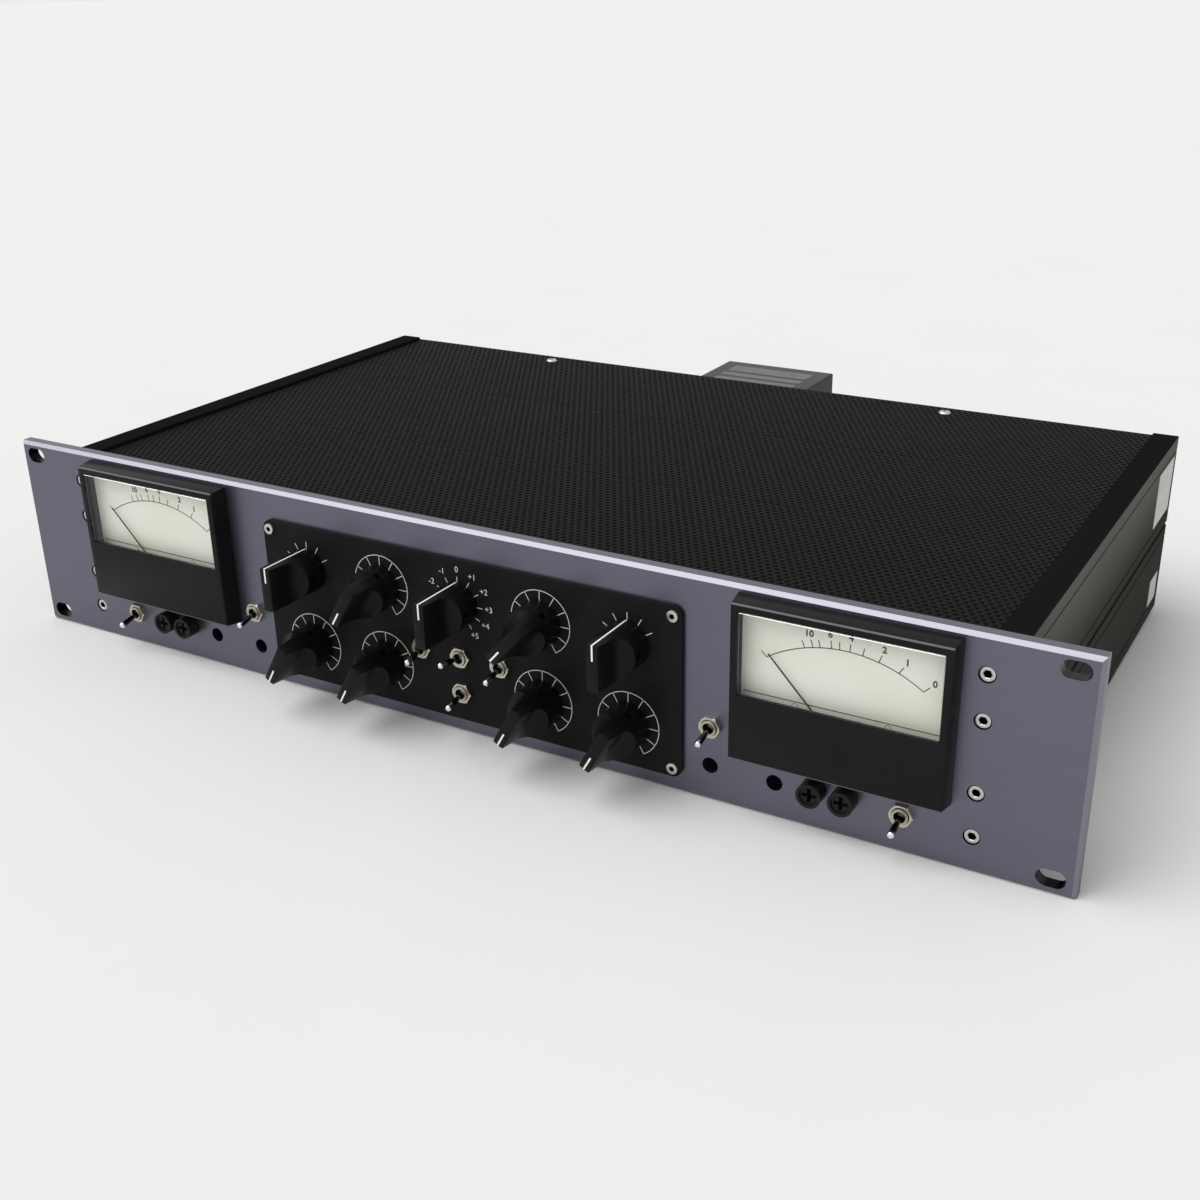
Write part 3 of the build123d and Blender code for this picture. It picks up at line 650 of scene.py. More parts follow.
def grown(tree, values, points=((0, 0, 0),)):
    """Runs a geometry tree on these points and returns its result as a plain mesh."""
    seed = bpy.data.meshes.new("seed")
    seed.from_pydata([tuple(p) for p in points], [], [])
    host = linked("seed", seed)
    modifier = host.modifiers.new("grow", "NODES")
    modifier.node_group = tree
    for item in tree.interface.items_tree:
        if item.in_out == "INPUT" and item.name in values:
            modifier[item.identifier] = values[item.name]
    mesh = evaluated(host)
    host.modifiers.remove(modifier)
    bpy.data.objects.remove(host)
    return mesh


def perforated_tree():
    """A sheet of hexagonal cells, each round one hole, given a thickness."""
    inputs = {
        **dict.fromkeys(("Pitch", "Hole", "Thickness"), "Float"),
        **dict.fromkeys(("Columns", "Rows", "First Row"), "Int"), "Material": "Material",
    }
    g = Growth("perforated_sheet", inputs)
    pitch, hole = g.given("Pitch"), g.given("Hole")
    corner = pitch * (1 / sqrt(3))
    inner = hole * 0.5
    ring = g.node("GeometryNodeMeshCircle", {"Vertices": 6, "Radius": (corner + inner) * 0.5})
    loop = g.node("GeometryNodeMeshToCurve", {"Mesh": ring})
    reach = (corner - inner) * 0.5
    ends = {"Start": g.vector(x=reach * -1.0), "End": g.vector(x=reach)}
    cell = g.swept(loop, g.node("GeometryNodeCurvePrimitiveLine", ends))
    cell = g.moved(cell, turn=(0, 0, radians(30)))
    row = pitch * (sqrt(3) / 2)
    columns, rows = g.given("Columns"), g.given("Rows")
    spans = {"Size X": (columns - 1) * pitch, "Size Y": (rows - 1) * row}
    lattice = g.node("GeometryNodeMeshGrid", {**spans, "Vertices X": columns, "Vertices Y": rows})
    number = g.maths("FLOORED_MODULO", g.node("GeometryNodeInputIndex"), rows)
    odd = g.maths("FLOORED_MODULO", number + g.given("First Row"), 2)
    shift = (odd - 0.5) * pitch * 0.5
    lattice = g.node("GeometryNodeSetPosition", {"Geometry": lattice, "Offset": g.vector(x=shift)})
    sheet = g.welded(g.node("GeometryNodeRealizeInstances", {"Geometry": g.copied(lattice, cell)}))
    sockets = {"Mesh": sheet, "Offset": g.vector(z=1.0), "Offset Scale": g.given("Thickness")}
    raised = g.node("GeometryNodeExtrudeMesh", {**sockets, "Individual": False}, mode="FACES")
    turned = g.node("GeometryNodeFlipFaces", {"Mesh": sheet})
    return g.end(g.welded(g.joined(raised, turned)))


def scale_tree():
    """A fan of ticks round every point, with an arc through their outer ends if asked for."""
    lengths = ("First", "Step", "Inner", "Outer", "Line", "Depth")
    inputs = {"Count": "Int", **dict.fromkeys(lengths, "Float"), "Arc": "Bool", "Material": "Material"}
    g = Growth("knob_scale", inputs)
    count, (first, step, inner, outer, line, depth) = g.given("Count"), map(g.given, lengths)
    tick = g.node("GeometryNodeMeshCube", {"Size": g.vector(line, depth, outer - inner)})
    tick = g.moved(tick, offset=g.vector(z=(outer + inner) * 0.5))
    spokes = g.node("GeometryNodeMeshLine", {"Count": count, "Offset": (0, 0, 0)})
    turn = g.vector(y=g.node("GeometryNodeInputIndex") * step + first)
    fan = g.copied(spokes, tick, Rotation=turn)
    sweep = (count - 1) * step
    sockets = {
        "Resolution": 64, "Radius": outer - line * 0.5,
        "Start Angle": (pi / 2 - first) - sweep, "Sweep Angle": sweep,
    }
    arc = g.node("GeometryNodeCurveArc", sockets, mode="RADIUS")
    profile = g.node("GeometryNodeCurvePrimitiveQuadrilateral", {"Width": line, "Height": depth})
    band = g.moved(g.swept(arc, profile, True), turn=(pi / 2, 0, 0))
    sockets = {"Switch": g.given("Arc"), "True": band}
    chosen = g.node("GeometryNodeSwitch", sockets, input_type="GEOMETRY")
    return g.end(g.copied(g.given("Geometry"), g.joined(fan, chosen)))


def copies_tree():
    """The same part at every point."""
    g = Growth("repeated_part", {"Part": "Object", "Material": "Material"})
    part = g.node("GeometryNodeObjectInfo", {"Object": g.given("Part")}, output="Geometry")
    return g.end(g.copied(g.given("Geometry"), part))


def repeated(shape, points, material):
    """Copies of a small bmesh part at each point, made by the geometry tree."""
    part = linked("part", to_mesh(shape, "part"))
    bpy.context.view_layer.update()
    mesh = grown(copies_tree(), {"Part": part, "Material": material}, points)
    bpy.data.objects.remove(part)
    return mesh


def hexagon(flats, limit=1.0):
    """Radius of a hexagon at each angle, with its corners cut back to a circle if limit is given."""
    return lambda t: min(flats / 2 / cos((t + pi / 6) % (pi / 3) - pi / 6), limit)


def add_lathe(shape, profile, sides=48, closed=False):
    """A turned part about the Y axis. profile holds (radius, y), and a radius may be a hexagon."""
    turns = [2 * pi * i / sides for i in range(sides)]
    rings = []
    for radius, y in profile:
        if radius == 0:
            rings.append([shape.verts.new((0, y, 0))])
            continue
        radii = [radius(t) if callable(radius) else radius for t in turns]
        rings.append([shape.verts.new((r * sin(t), y, r * cos(t))) for r, t in zip(radii, turns)])
    faces = []
    for lower, upper in zip(rings, rings[1:] + (rings[:1] if closed else [])):
        for i in range(sides):
            j = (i + 1) % sides
            corners = [lower[i % len(lower)], lower[j % len(lower)]]
            corners += [upper[j % len(upper)], upper[i % len(upper)]]
            faces.append(shape.faces.new(list(dict.fromkeys(corners))))
    bmesh.ops.recalc_face_normals(shape, faces=faces)


# ---- pieces
def both(name):
    """A piece's name on the left and on the right."""
    return [f"{side}_{name}" for side in SIDES]


def ending(word):
    """The moving bodies whose names end in a word."""
    return [name for name in PIVOTS if name.endswith(word)]


class RACK_OT_finishes(bpy.types.Operator):
    """Give every CAD node its finish"""

    bl_idname = "rack.finishes"
    bl_label = "Finishes"

    def execute(self, context):
        tones = settings().finishes
        # The cases' edge colour is a painted highlight.
        black_case = moulded("moulded_case", tones.case, 0.24, 0.08, (0.15, 0.15, 0.155))
        nickel = plated("nickel_plate", (0.62, 0.58, 0.48), 0.24)
        finishes = {
            brushed_panel(tones.panel): ["front_panel"],
            powder_coat("satin_plate", tones.plate, 0.34, 2200): ["control_plate"],
            anodised_rail(tones.rail, tones.flank): both("side_rails"),
            powder_coat("cover_coat", tones.cover, shine=0.008): ["top_cover", "bottom_cover"],
            powder_coat("rear_coat", (0.016, 0.016, 0.017), 0.4): ["rear_panel"],
            plated("screw_steel", (0.62, 0.61, 0.59), 0.27): ["front_screws", "chassis_screws"],
            black_case: both("meter_case"),
            clear_window((0.99, 1.0, 0.985)): both("meter_window"),
            dial_paint(tones.dial): both("meter_dial"),
            plated("movement_steel", (0.4, 0.4, 0.41), 0.35): both("meter_movement"),
            powder_coat("needle_coat", (0.02, 0.02, 0.02), 0.4): both("meter_needle"),
            moulded("moulded_knob", tones.knob): KNOBS,
            plated("zinc_plate", (0.5, 0.49, 0.45), 0.34): ["potentiometers", "rotary_switches"],
            nickel: ["control_nuts", "toggle_nuts"],
            # Levers: the dark base is a painted reflection of dark surroundings, and the pale end colour a painted
            # highlight.
            plated("lever_chrome", (0.09, 0.09, 0.095), 0.12, (0.8, 0.8, 0.79)): ending("_lever"),
            plated("bush_nickel", (0.5, 0.47, 0.4), 0.3): ["toggle_switches"],
            moulded("trimmer_blue", (0.02, 0.05, 0.22), 0.3): ["trimmer_bodies"],
            moulded("trimmer_black", (0.012, 0.012, 0.012), 0.3): ending("_trimmer"),
            moulded("jack_black", (0.013, 0.013, 0.013), 0.26): ["test_jacks"],
            moulded("connector_black", (0.014, 0.014, 0.015), 0.3): [
                "mains_inlet", "power_switch_frame", "power_rocker", "fuse_holder", "fuse_cap"
            ],
            plated("connector_shell", (0.3, 0.3, 0.3), 0.3): ["xlr_inputs", "xlr_outputs"],
            powder_coat("can_enamel", tones.can, 0.3, 900): ["transformer_can", "audio_transformers"],
            laminations(): ["transformer_core"],
            circuit_board(): ["main_board"],
            sleeved((0.02, 0.035, 0.12)): ["board_components"],
            valve_glass(): ["valves"],
        }
        for material, nodes in finishes.items():
            for node in nodes:
                for material_slot in frame["nodes"][node].material_slots:
                    material_slot.material = material
        return {"FINISHED"}


def finish_of(node):
    """The material that a CAD node wears."""
    return frame["nodes"][node].material_slots[0].material


def slot_of(node):
    """The record's material slot of a CAD node."""
    return next(s["material_slot"] for s in frame["record"]["subparts"] if s["node"] == node)


class RACK_OT_covers(bpy.types.Operator):
    """Perforated sheets for the top and bottom covers"""

    bl_idname = "rack.covers"
    bl_label = "Perforated covers"

    def execute(self, context):
        tree = perforated_tree()
        for node in ("top_cover", "bottom_cover"):
            self.cover(tree, node)
        return {"FINISHED"}

    def cover(self, tree, node):
        """Strips of perforation across the cover, with a plain edge at its front and rear."""
        sizes = settings().covers
        low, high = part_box(node)
        row = sizes.pitch * sqrt(3) / 2
        cell = sizes.pitch / sqrt(3)
        columns = int((high.x - low.x) / sizes.pitch - 0.5)
        rows = int((high.y - low.y - 2 * cell) / row) + 1
        first_y = (low.y + high.y - (rows - 1) * row) / 2
        share = -(-rows // sizes.strips)
        inset, gap = 0.01 * MM, 0.1 * MM
        for strip in range(sizes.strips):
            first = strip * share
            count = min(share, rows - first)
            values = {
                "Pitch": sizes.pitch, "Hole": sizes.hole, "Thickness": high.z - low.z,
                "Columns": columns, "Rows": count, "First Row": first,
                "Material": finish_of(node),
            }
            mesh = grown(tree, values)
            middle = first_y + (first + (count - 1) / 2) * row
            mesh.transform(Matrix.Translation((0, middle, low.z)))
            shape = opened(mesh)
            edge = first_y - sizes.hole / 2 - gap - low.y
            foot, top = low.z + inset, high.z - inset
            lip = [(low.x, foot), (high.x, foot), (high.x, top), (low.x, top)]
            if strip == 0:
                add_prism(shape, lip, low.y, low.y + edge)
            if strip == sizes.strips - 1:
                add_prism(shape, lip, high.y - edge, high.y)
            bmesh.ops.recalc_face_normals(shape, faces=shape.faces[:])
            name = f"{node.replace('_cover', '')}_perforation_{strip + 1}"
            dressed(to_mesh(shape, name), name, node)


class RACK_OT_fasteners(bpy.types.Operator):
    """Socket-head and pan-head screws, and the nuts under the toggle levers"""

    bl_idname = "rack.fasteners"
    bl_label = "Screws and nuts"

    def execute(self, context):
        self.socket_screws()
        self.pan_screws()
        self.nuts()
        return {"FINISHED"}

    def socket_screws(self):
        """One piece with both lengths of socket-head screw, their sockets painted near black as painted shade."""
        solids = self.solids("front_screws")
        # Painted shade: near-black paint inside the hex sockets.
        dark = powder_coat("socket_black", (0.006, 0.006, 0.006), 0.6, shine=0.02)
        shape = bmesh.new()
        long, shank, lip, soft, softer = 0.012, 0.0014, 0.0002, 0.0001, 0.00035
        for deep in (True, False):
            group = [box for box in solids if (box[1].y - box[0].y > long) == deep]
            low, high, _ = group[0]
            head, reach = (high.x - low.x) / 2, high.y - low.y
            tall, key, depth = (0.0037, 0.0026, 0.0022) if deep else (0.0012, 0.0018, 0.0016)
            socket = [(0, depth), (hexagon(key), depth), (hexagon(key), lip)]
            body = [
                (hexagon(key), lip), (hexagon(key * 1.12), 0), (head - softer, 0),
                (head - soft, soft), (head, softer), (head, tall),
                (shank, tall), (shank, reach), (0, reach),
            ]
            for index, profile in enumerate((body, socket)):
                part = bmesh.new()
                add_lathe(part, profile)
                known = len(shape.faces)
                shape.from_mesh(repeated(part, self.fronts(group), finish_of("front_screws")))
                shape.faces.ensure_lookup_table()
                for face in shape.faces[known:]:
                    face.material_index = index
        bmesh.ops.remove_doubles(shape, verts=shape.verts[:], dist=WELD)
        bmesh.ops.recalc_face_normals(shape, faces=shape.faces[:])
        mesh = to_mesh(shape, "socket_screws")
        dressed(mesh, "socket_screws", "front_screws", dark, smooth=30)

    def pan_screws(self):
        """One piece with every pan-head screw of the chassis, each with its cross recess."""
        kinds = {}
        for low, high, verts in self.solids("chassis_screws"):
            size, middle = high - low, (low + high) / 2
            along = max(range(3), key=lambda i: size[i])
            across = [i for i in range(3) if i != along]
            radius = size[across[0]] / 2
            rim = [
                v[along] for v in verts
                if (Vector([v[i] - middle[i] for i in across])).length > radius * 0.95
            ]
            up = sum(rim) / len(rim) > middle[along]
            top = Vector(middle)
            top[along] = (high if up else low)[along]
            kind = along, up, round(radius, 5), round(max(rim) - min(rim), 5), round(size[along], 5)
            kinds.setdefault(kind, []).append(top)
        shape = bmesh.new()
        for (along, up, radius, head, reach), tops in kinds.items():
            mesh = self.pan_screw(radius, head, reach)
            if along == 2:
                mesh.transform(Matrix.Rotation(-pi / 2 if up else pi / 2, 4, "X"))
            elif up:
                mesh.transform(Matrix.Rotation(pi, 4, "X"))
            shape.from_mesh(repeated(opened(mesh), tops, finish_of("chassis_screws")))
        dressed(to_mesh(shape, "pan_screws"), "pan_screws", "chassis_screws", smooth=35)

    def pan_screw(self, radius, head, reach):
        """A screw with its head's top at the origin, facing -Y."""
        shape = bmesh.new()
        shank = 0.00137
        dome = [(0, 0), (0.5, 0.00006), (0.78, 0.0003), (0.94, 0.0007), (1, 0.0011)]
        profile = [(radius * share, y) for share, y in dome]
        profile += [(radius, head), (shank, head), (shank, reach), (0, reach)]
        add_lathe(shape, profile, 32)
        long, thin = radius * 0.58, 0.00034
        cutters = []
        for x, z in ((long, thin), (thin, long)):
            arm = bmesh.new()
            add_prism(arm, [(x, z), (-x, z), (-x, -z), (x, -z)], -0.0005, 0.00085)
            cutters.append(to_mesh(arm, "recess"))
        return carved(to_mesh(shape, "screw"), cutters)

    def nuts(self):
        """Chamfered hexagon nuts."""
        solids = self.solids("toggle_nuts")
        low, high, _ = solids[0]
        tall = high.y - low.y
        flats = min(high.x - low.x, high.z - low.z)
        bore, crown, lip, ease = 0.00315, flats / 2 * 1.04, 0.0002, 0.0006
        part = bmesh.new()
        profile = [
            (bore + lip, 0), (hexagon(flats, crown), 0), (hexagon(flats, crown + ease), ease / 2),
            (hexagon(flats), tall), (bore, tall), (bore, lip),
        ]
        add_lathe(part, profile, closed=True)
        mesh = repeated(part, self.fronts(solids), finish_of("toggle_nuts"))
        dressed(mesh, "lever_nuts", "toggle_nuts", smooth=30)

    def fronts(self, solids):
        """The middle of each solid's front."""
        return [((low.x + high.x) / 2, low.y, (low.z + high.z) / 2) for low, high, _ in solids]

    def solids(self, node):
        """Each separate solid of a CAD node: its box's corners and its vertices."""
        shape = opened(frame["nodes"][node].data, WELD)
        left, boxes = dict.fromkeys(shape.verts), []
        while left:
            queue, found = [left.popitem()[0]], []
            while queue:
                vert = queue.pop()
                found.append(vert.co.copy())
                for edge in vert.link_edges:
                    other = edge.other_vert(vert)
                    if other in left:
                        del left[other]
                        queue.append(other)
            low, high = (Vector(map(limit, zip(*found))) for limit in (min, max))
            boxes.append((low, high, found))
        shape.free()
        return boxes


def carved(mesh, cutters):
    """Cuts meshes out of a mesh and returns the rest."""
    base = linked("base", mesh)
    hosts = [linked("cutter", cutter) for cutter in cutters]
    for host in hosts:
        modifier = base.modifiers.new("cut", "BOOLEAN")
        modifier.operation, modifier.solver, modifier.object = "DIFFERENCE", "EXACT", host
    result = evaluated(base)
    for host in [base, *hosts]:
        bpy.data.objects.remove(host)
    return result


class RACK_OT_knobs(bpy.types.Operator):
    """Pointer knobs with rounded edges, set-screw holes and a printed line"""

    bl_idname = "rack.knobs"
    bl_label = "Knobs"

    def execute(self, context):
        line = printed("pointer_line", settings().finishes.pointer)
        blank = self.blank()
        for name in KNOBS:
            low_turn, high_turn = RANGES[name]
            turn = radians(-(low_turn + high_turn) / 2)
            mesh = blank.copy()
            mesh.transform(Matrix.Translation(PIVOTS[name]) @ Matrix.Rotation(turn, 4, "Y"))
            dressed(mesh, name + "_body", name, line, body=name, smooth=32)
        bpy.data.meshes.remove(blank)
        return {"FINISHED"}

    def blank(self):
        """A knob at the origin: its front towards -Y and its nose upwards."""
        low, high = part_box("input_knob")
        radius = (high.x - low.x) / 2
        tall = PIVOTS["input_knob"].y - low.y
        shape = bmesh.new()
        add_lathe(shape, [(0, -tall), (radius, -tall), (radius, 0), (0, 0)], sides=128)
        cutters = [self.scoop(side, radius, tall) for side in (-1, 1)]
        cutters += [self.set_screw_hole(turn, radius) for turn in (pi / 2, pi)]
        shape = self.rounded(carved(to_mesh(shape, "knob"), cutters))
        shaft, bore, reach = bmesh.new(), 0.00315, high.y - low.y - tall
        add_lathe(shaft, [(0, 0), (bore, 0), (bore, reach), (0, reach)])
        shape.from_mesh(to_mesh(shaft, "shaft"))
        self.print_line(shape, radius)
        return to_mesh(shape, "knob")

    def scoop(self, side, radius, tall):
        """What leaves the bar at the knob's front: a slanted flank and a hollow round its foot."""
        half, waist, bend, hollow = 0.0023, 0.0031, tall - 0.0078, 0.0066
        outline = [(half, tall + MM), (half, tall), (waist, bend)]
        steps = 20
        for i in range(1, steps + 1):
            turn = pi / 2 * i / steps
            outline.append((waist + hollow * (1 - cos(turn)), bend - hollow * sin(turn)))
        outline += [(radius + MM, bend - hollow), (radius + MM, tall + MM)]
        shape = bmesh.new()
        add_prism(shape, [(side * x, z) for x, z in outline], -radius - MM, radius + MM)
        mesh = to_mesh(shape, "scoop")
        mesh.transform(Matrix.Rotation(pi / 2, 4, "X"))
        return mesh

    def set_screw_hole(self, turn, radius):
        """A blind hole into the knob's skirt, turned clockwise from the nose."""
        shape = bmesh.new()
        wall, foot, mouth, forward = 0.0015, 0.0042, radius + MM, 0.0067
        add_lathe(shape, [(0, foot), (wall, foot), (wall, mouth), (0, mouth)], 24)
        mesh = to_mesh(shape, "hole")
        stand = Matrix.Rotation(turn, 4, "Y") @ Matrix.Rotation(pi / 2, 4, "X")
        mesh.transform(Matrix.Translation((0, -forward, 0)) @ stand)
        return mesh

    def rounded(self, mesh):
        """Rounds the sharp edges."""
        shape = opened(mesh, WELD)
        sharp = [
            e for e in shape.edges if len(e.link_faces) == 2 and e.calc_face_angle(0) > radians(26)
        ]
        softened(shape, sharp, 0.00028, 2, clamp_overlap=True)
        return shape

    def print_line(self, shape, radius):
        """The line runs down the nose's wall and a little way along the front."""
        half, run = settings().scales.pointer / 2, 0.0062
        start = radius - run
        cuts = [((half, 0, 0), (1, 0, 0)), ((-half, 0, 0), (1, 0, 0)), ((0, 0, start), (0, 0, 1))]
        for point, normal in cuts:
            whole = shape.verts[:] + shape.edges[:] + shape.faces[:]
            bmesh.ops.bisect_plane(shape, geom=whole, plane_co=point, plane_no=normal)
        for face in shape.faces:
            centre = face.calc_center_median()
            on_line = abs(centre.x) < half and centre.z > start
            if on_line and face.normal.y < 0.5:
                face.material_index = 1


class RACK_OT_scales(bpy.types.Operator):
    """Printed scales round the knobs"""

    bl_idname = "rack.scales"
    bl_label = "Knob scales"

    def execute(self, context):
        ink = printed("plate_print", settings().finishes.marks)
        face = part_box("control_plate")[0].y
        depth = 0.00008
        sizes = settings().scales
        tree = scale_tree()
        sweeps = [name for name in KNOBS if name not in STEPPED and name != "input_knob"]
        fans = [
            ("sweep_scales", sweeps, 11, -150, 30, sizes.radius - sizes.tick, sizes.radius, True),
            ("recovery_scales", STEPPED, 5, -60, 30, 0.0088, 0.0119, False),
            ("input_scale", ["input_knob"], 11, -150, 30, 0.0085, 0.0112, False),
        ]
        for name, knobs, count, first, step, inner, outer, arc in fans:
            values = {
                "Count": count, "First": radians(first), "Step": radians(step), "Inner": inner,
                "Outer": outer, "Line": sizes.line, "Depth": depth, "Arc": arc, "Material": ink,
            }
            points = [(PIVOTS[k].x, face, PIVOTS[k].z) for k in knobs]
            placed(grown(tree, values, points), name, [ink])
        shape = bmesh.new()
        centre = (PIVOTS["input_knob"].x, PIVOTS["input_knob"].z)
        ring, size, figures = 0.0141, 0.0034, []
        for number in range(-5, 6):
            text = f"{number:+d}" if number else "0"
            figures.append((text, *polar(centre, ring, radians(30 * number))))
        add_figures(shape, figures, size, face - depth / 2, face + depth / 2)
        placed(to_mesh(shape, "input_figures"), "input_figures", [ink])
        return {"FINISHED"}


class RACK_OT_meters(bpy.types.Operator):
    """Meter cases with soft edges, and the printing on their dials"""

    bl_idname = "rack.meters"
    bl_label = "Meters"

    def execute(self, context):
        ink = printed("dial_ink", settings().finishes.ink)
        for side in SIDES:
            case = f"{side}_meter_case"
            dressed(self.soft_case(case), case + "_soft", case, smooth=30)
            self.dial(side, ink)
        return {"FINISHED"}

    def soft_case(self, case):
        """A copy of the case with its outer edges rounded, and its window's edges left sharp."""
        shape = opened(frame["nodes"][case].data, WELD)
        outer = self.outline(shape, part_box(case)[0].y)
        base = self.outline(shape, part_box("front_panel")[0].y)
        rim = [
            edge for edge in shape.edges
            if all(v in outer or v in base for v in edge.verts)
            and edge.calc_face_angle(0) > radians(25)
        ]
        softened(shape, rim, 0.0005, 3)
        return to_mesh(shape, case)

    def outline(self, shape, y):
        """The four corners of the case at a place along Y."""
        ring = [v for v in shape.verts if abs(v.co.y - y) < NEAR]
        wide, tall = zip(*((abs(v.co.x), v.co.z) for v in ring))
        ends = [(min(spread), max(spread)) for spread in (wide, tall)]
        return [
            v for v, *place in zip(ring, wide, tall)
            if all(min(abs(at - end) for end in pair) < NEAR for at, pair in zip(place, ends))
        ]

    def dial(self, side, ink):
        """A reduction scale: an arc, its ticks and plain figures, a ground line and a zero mark."""
        pivot = PIVOTS[f"{side}_meter_needle"]
        low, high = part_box(f"{side}_meter_dial")
        sunk = 0.00035
        front, back = low.y + sunk - 0.00004, low.y + sunk + 0.00002
        hub = (pivot.x, pivot.z)
        rise, sag, half_chord = 0.0350, 0.0264, 0.0280
        crown_radius = (half_chord ** 2 + (rise - sag) ** 2) / (2 * (rise - sag))
        centre = (pivot.x, pivot.z + rise - crown_radius)
        shape = bmesh.new()
        reach = atan(half_chord / (crown_radius - (rise - sag)))
        tick, line, arc_line, clear, figures = 0.0029, 0.00034, 0.00035, 0.0022, []
        add_arc(shape, centre, crown_radius, -reach, reach, arc_line, front, back)
        offset = centre[1] - hub[1]

        def on_arc(angle):
            """Distance from the pivot to the arc along a direction."""
            cosine = cos(angle) * offset
            return cosine + sqrt(crown_radius ** 2 - (offset * sin(angle)) ** 2)

        angles = {mark: -25.4 + 72 * 10 ** (-mark / 10) for mark in (0, 1, 2, 3, 4, 5, 6, 8, 10, 15)}
        for mark, angle in {**angles, "rest": -46.4}.items():
            turn = radians(angle)
            start = on_arc(turn)
            end = start + tick
            add_stroke(shape, polar(hub, start, turn), polar(hub, end, turn), line, front, back)
            if mark in (0, 1, 2, 4, 6, 10):
                figures.append((str(mark), *polar(hub, end + clear, turn)))
        base, reach = 0.0118, (high.x - low.x) / 2 - MM
        ends = [(pivot.x - reach, pivot.z + base), (pivot.x + reach, pivot.z + base)]
        add_stroke(shape, *ends, line, front, back)
        rivet, out, up = 0.0011, 0.0168, 0.0101
        for x in (pivot.x - out, pivot.x + out):
            add_arc(shape, (x, pivot.z + up), rivet, -pi, NEARLY_ROUND, 0.0002, front, back, 24)
        add_figures(shape, figures, 0.0033, front, back, 0.00012)
        placed(to_mesh(shape, f"{side}_dial_print"), f"{side}_dial_print", [ink])


class RACK_OT_labels(bpy.types.Operator):
    """Blank stickers on the side rails and blank fields on the transformer can"""

    bl_idname = "rack.labels"
    bl_label = "Blank labels"

    def execute(self, context):
        paper = blank_paper("sticker_paper", (0.55, 0.55, 0.54))
        tin = blank_paper("can_label", (0.11, 0.11, 0.12))
        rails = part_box("right_side_rails")[1]
        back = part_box("front_panel")[1].y
        skin = 0.0001
        for name, y0, y1, z0, z1 in (
            ("upper_sticker", 0.2100, 0.2416, 0.0527, 0.0773),
            ("lower_sticker", 0.2240, 0.2400, 0.0099, 0.0227),
        ):
            box = ((rails.x - skin / 4, back + y0, z0), (rails.x + skin, back + y1, z1))
            placed(self.sheet(box, skin), name, [paper])
        low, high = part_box("transformer_can")
        side = 0.008
        for i, (y0, y1) in enumerate(((0.007, 0.017), (0.020, 0.026), (0.029, 0.040)), 1):
            near = (low.x + side, low.y + y0, high.z - skin / 4)
            far = (high.x - side, low.y + y1, high.z + skin)
            placed(self.sheet((near, far), skin), f"can_label_{i}", [tin])
        return {"FINISHED"}

    def sheet(self, box, skin):
        """A thin sheet with rounded corners that fills a box."""
        shape = bmesh.new()
        bmesh.ops.create_cube(shape, size=1)
        low, high = Vector(box[0]), Vector(box[1])
        size = high - low
        for vert in shape.verts:
            vert.co = Vector(v * s for v, s in zip(vert.co, size)) + (low + high) / 2
        thin = min(range(3), key=lambda i: size[i])
        corners = [
            e for e in shape.edges
            if abs(e.verts[0].co[thin] - e.verts[1].co[thin]) > size[thin] / 2
        ]
        softened(shape, corners, 8 * skin, 3)
        return to_mesh(shape, "sheet")


class RACK_OT_rocker(bpy.types.Operator):
    """Plain on and off marks on the power rocker"""

    bl_idname = "rack.rocker"
    bl_label = "Rocker marks"

    def execute(self, context):
        ink = printed("rocker_marks", settings().finishes.pointer)
        tilt, slope, skin, out = radians(9), 0.14, 0.00006, 0.0062
        shape = bmesh.new()
        for side in (-1, 1):
            mark = bmesh.new()
            if side < 0:
                add_stroke(mark, (0, -0.002), (0, 0.002), 0.0007, -skin, skin)
            else:
                add_arc(mark, (0, 0), 0.0018, -pi, NEARLY_ROUND, 0.0006, -skin, skin)
            mesh = to_mesh(mark, "mark")
            spot = Matrix.Translation((side * out, 0.0048 + out * slope, 0))
            lean = Matrix.Rotation(side * atan(slope), 4, "Z")
            stand = Matrix.Translation(PIVOTS["power_rocker"]) @ Matrix.Rotation(tilt, 4, "Z")
            mesh.transform(stand @ spot @ lean)
            shape.from_mesh(mesh)
        placed(to_mesh(shape, "rocker_marks"), "rocker_marks", [ink], body="power_rocker")
        return {"FINISHED"}


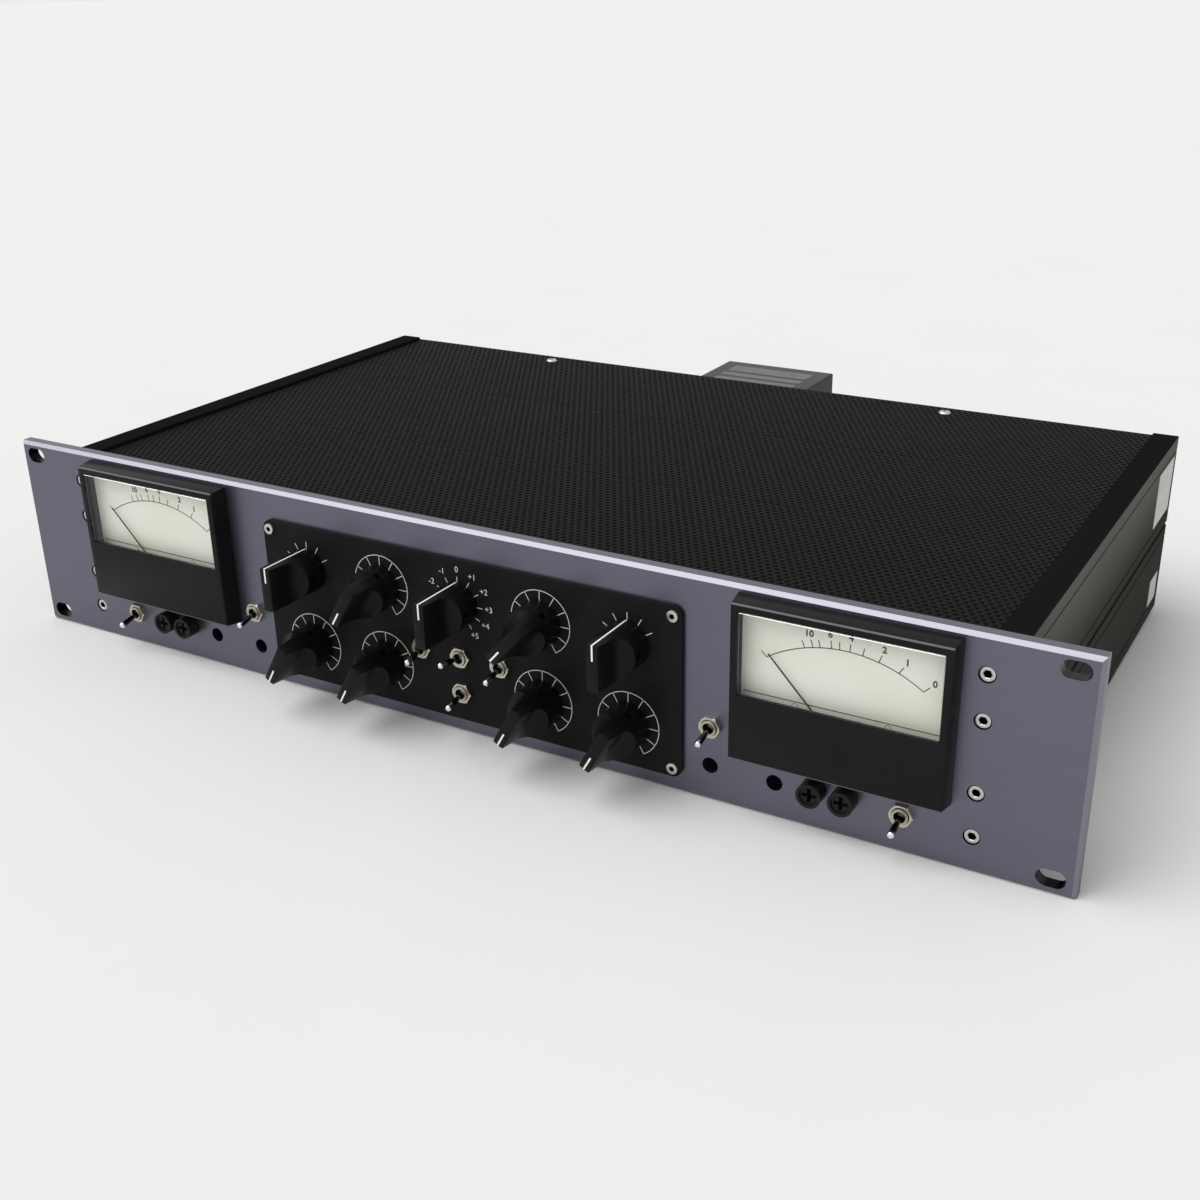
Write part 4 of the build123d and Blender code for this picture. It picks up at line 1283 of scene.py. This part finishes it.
class RACK_OT_stage(bpy.types.Operator):
    """Pale floor, soft light and the camera"""

    bl_idname = "rack.stage"
    bl_label = "Stage"

    def execute(self, context):
        look = settings().stage
        self.floor(look)
        self.light(look)
        self.camera(look)
        return {"FINISHED"}

    def floor(self, look):
        """A wide pale floor at the unit's foot."""
        shape = bmesh.new()
        bmesh.ops.create_circle(shape, cap_ends=True, segments=64, radius=14)
        mesh = to_mesh(shape, "floor")
        mesh.transform(Matrix.Translation((0, 0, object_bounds()[0][2])))
        floor = linked("floor", mesh)
        cloth = Finish("floor_cloth")
        nap = cloth.noise(9, 4)
        cloth.bump(nap, 0.004, 0.25)
        dim = [c * 0.97 for c in look.floor]
        mesh.materials.append(cloth.surface(cloth.mixed(nap, dim, look.floor), 0.9))
        floor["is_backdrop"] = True

    def light(self, look):
        """Even light from all round, and one large soft source above the unit's left rear."""
        world = bpy.data.worlds.new("studio")
        world.use_nodes = True
        bpy.context.scene.world = world
        g = Graph(world.node_tree)
        g.tree.nodes.clear()
        sky = g.node("ShaderNodeBackground", {"Color": (0.97, 0.985, 1, 1), "Strength": look.sky})
        seen = g.node("ShaderNodeBackground", {"Color": (*look.floor, 1), "Strength": 1.0})
        shown = path = g.node("ShaderNodeLightPath", output="Is Camera Ray")
        for ray in ("Is Glossy Ray", "Is Transmission Ray"):
            shown = g.maths("MAXIMUM", shown, path.of(ray))
        mix = g.node("ShaderNodeMixShader", {0: shown, 1: sky, 2: seen})
        g.node("ShaderNodeOutputWorld", {"Surface": mix})
        lamp = bpy.data.lights.new("lamp", "SUN")
        lamp.angle = radians(56)
        lamp.energy = look.lamp
        self.aimed("lamp", lamp, Vector((-0.52, -0.45, 1.0)), Vector((0, 0, 0)))

    def camera(self, look):
        """A camera that sees the unit from its right front."""
        lens = bpy.data.cameras.new("camera")
        lens.sensor_width, lens.lens = 36, 44.1
        lens.shift_x, lens.shift_y = -0.0124, 0.0049
        lens.clip_start, lens.clip_end = 0.01, 60
        flat = cos(look.elevation)
        ahead = Vector((-sin(look.azimuth) * flat, cos(look.azimuth) * flat, -sin(look.elevation)))
        aim = Vector((0.0376, -0.0834, 0.0426))
        camera = self.aimed("camera", lens, aim - ahead * 0.6, aim, look.roll)
        bpy.context.scene.camera = camera

    def aimed(self, name, data, place, aim, roll=0.0):
        """An object at a place, looking at a point."""
        host = linked(name, data)
        view = (aim - place).to_track_quat("-Z", "Y").to_matrix().to_4x4()
        host.matrix_world = Matrix.Translation(place) @ view @ Matrix.Rotation(roll, 4, "Z")
        return host


STEPS = (
    RACK_OT_finishes, RACK_OT_covers, RACK_OT_fasteners, RACK_OT_knobs, RACK_OT_scales,
    RACK_OT_meters, RACK_OT_labels, RACK_OT_rocker, RACK_OT_stage,
)


class RACK_PT_unit(bpy.types.Panel):
    """The unit's pieces and settings."""

    bl_idname = "RACK_PT_unit"
    bl_label = "Rack unit"
    bl_space_type = "VIEW_3D"
    bl_region_type = "UI"
    bl_category = "Rack unit"

    def draw(self, context):
        unit = context.scene.rack_unit
        for group in (unit.finishes, unit.covers, unit.scales, unit.stage):
            box = self.layout.box()
            for name in group.bl_rna.properties.keys():
                if name not in ("rna_type", "name"):
                    box.prop(group, name)
        for step in STEPS:
            self.layout.operator(step.bl_idname)


GROUPS = (RackFinishes, RackCovers, RackScales, RackStage, RackUnit)


def register():
    for made in (*GROUPS, *STEPS, RACK_PT_unit):
        bpy.utils.register_class(made)
    bpy.types.Scene.rack_unit = PointerProperty(type=RackUnit)


def unregister():
    del bpy.types.Scene.rack_unit
    for made in reversed((*GROUPS, *STEPS, RACK_PT_unit)):
        bpy.utils.unregister_class(made)


def main():
    register()
    bpy.context.scene.view_settings.view_transform = "Standard"
    for step in STEPS:
        group, name = step.bl_idname.split(".")
        getattr(getattr(bpy.ops, group), name)()


if __name__ == "__main__":
    main()
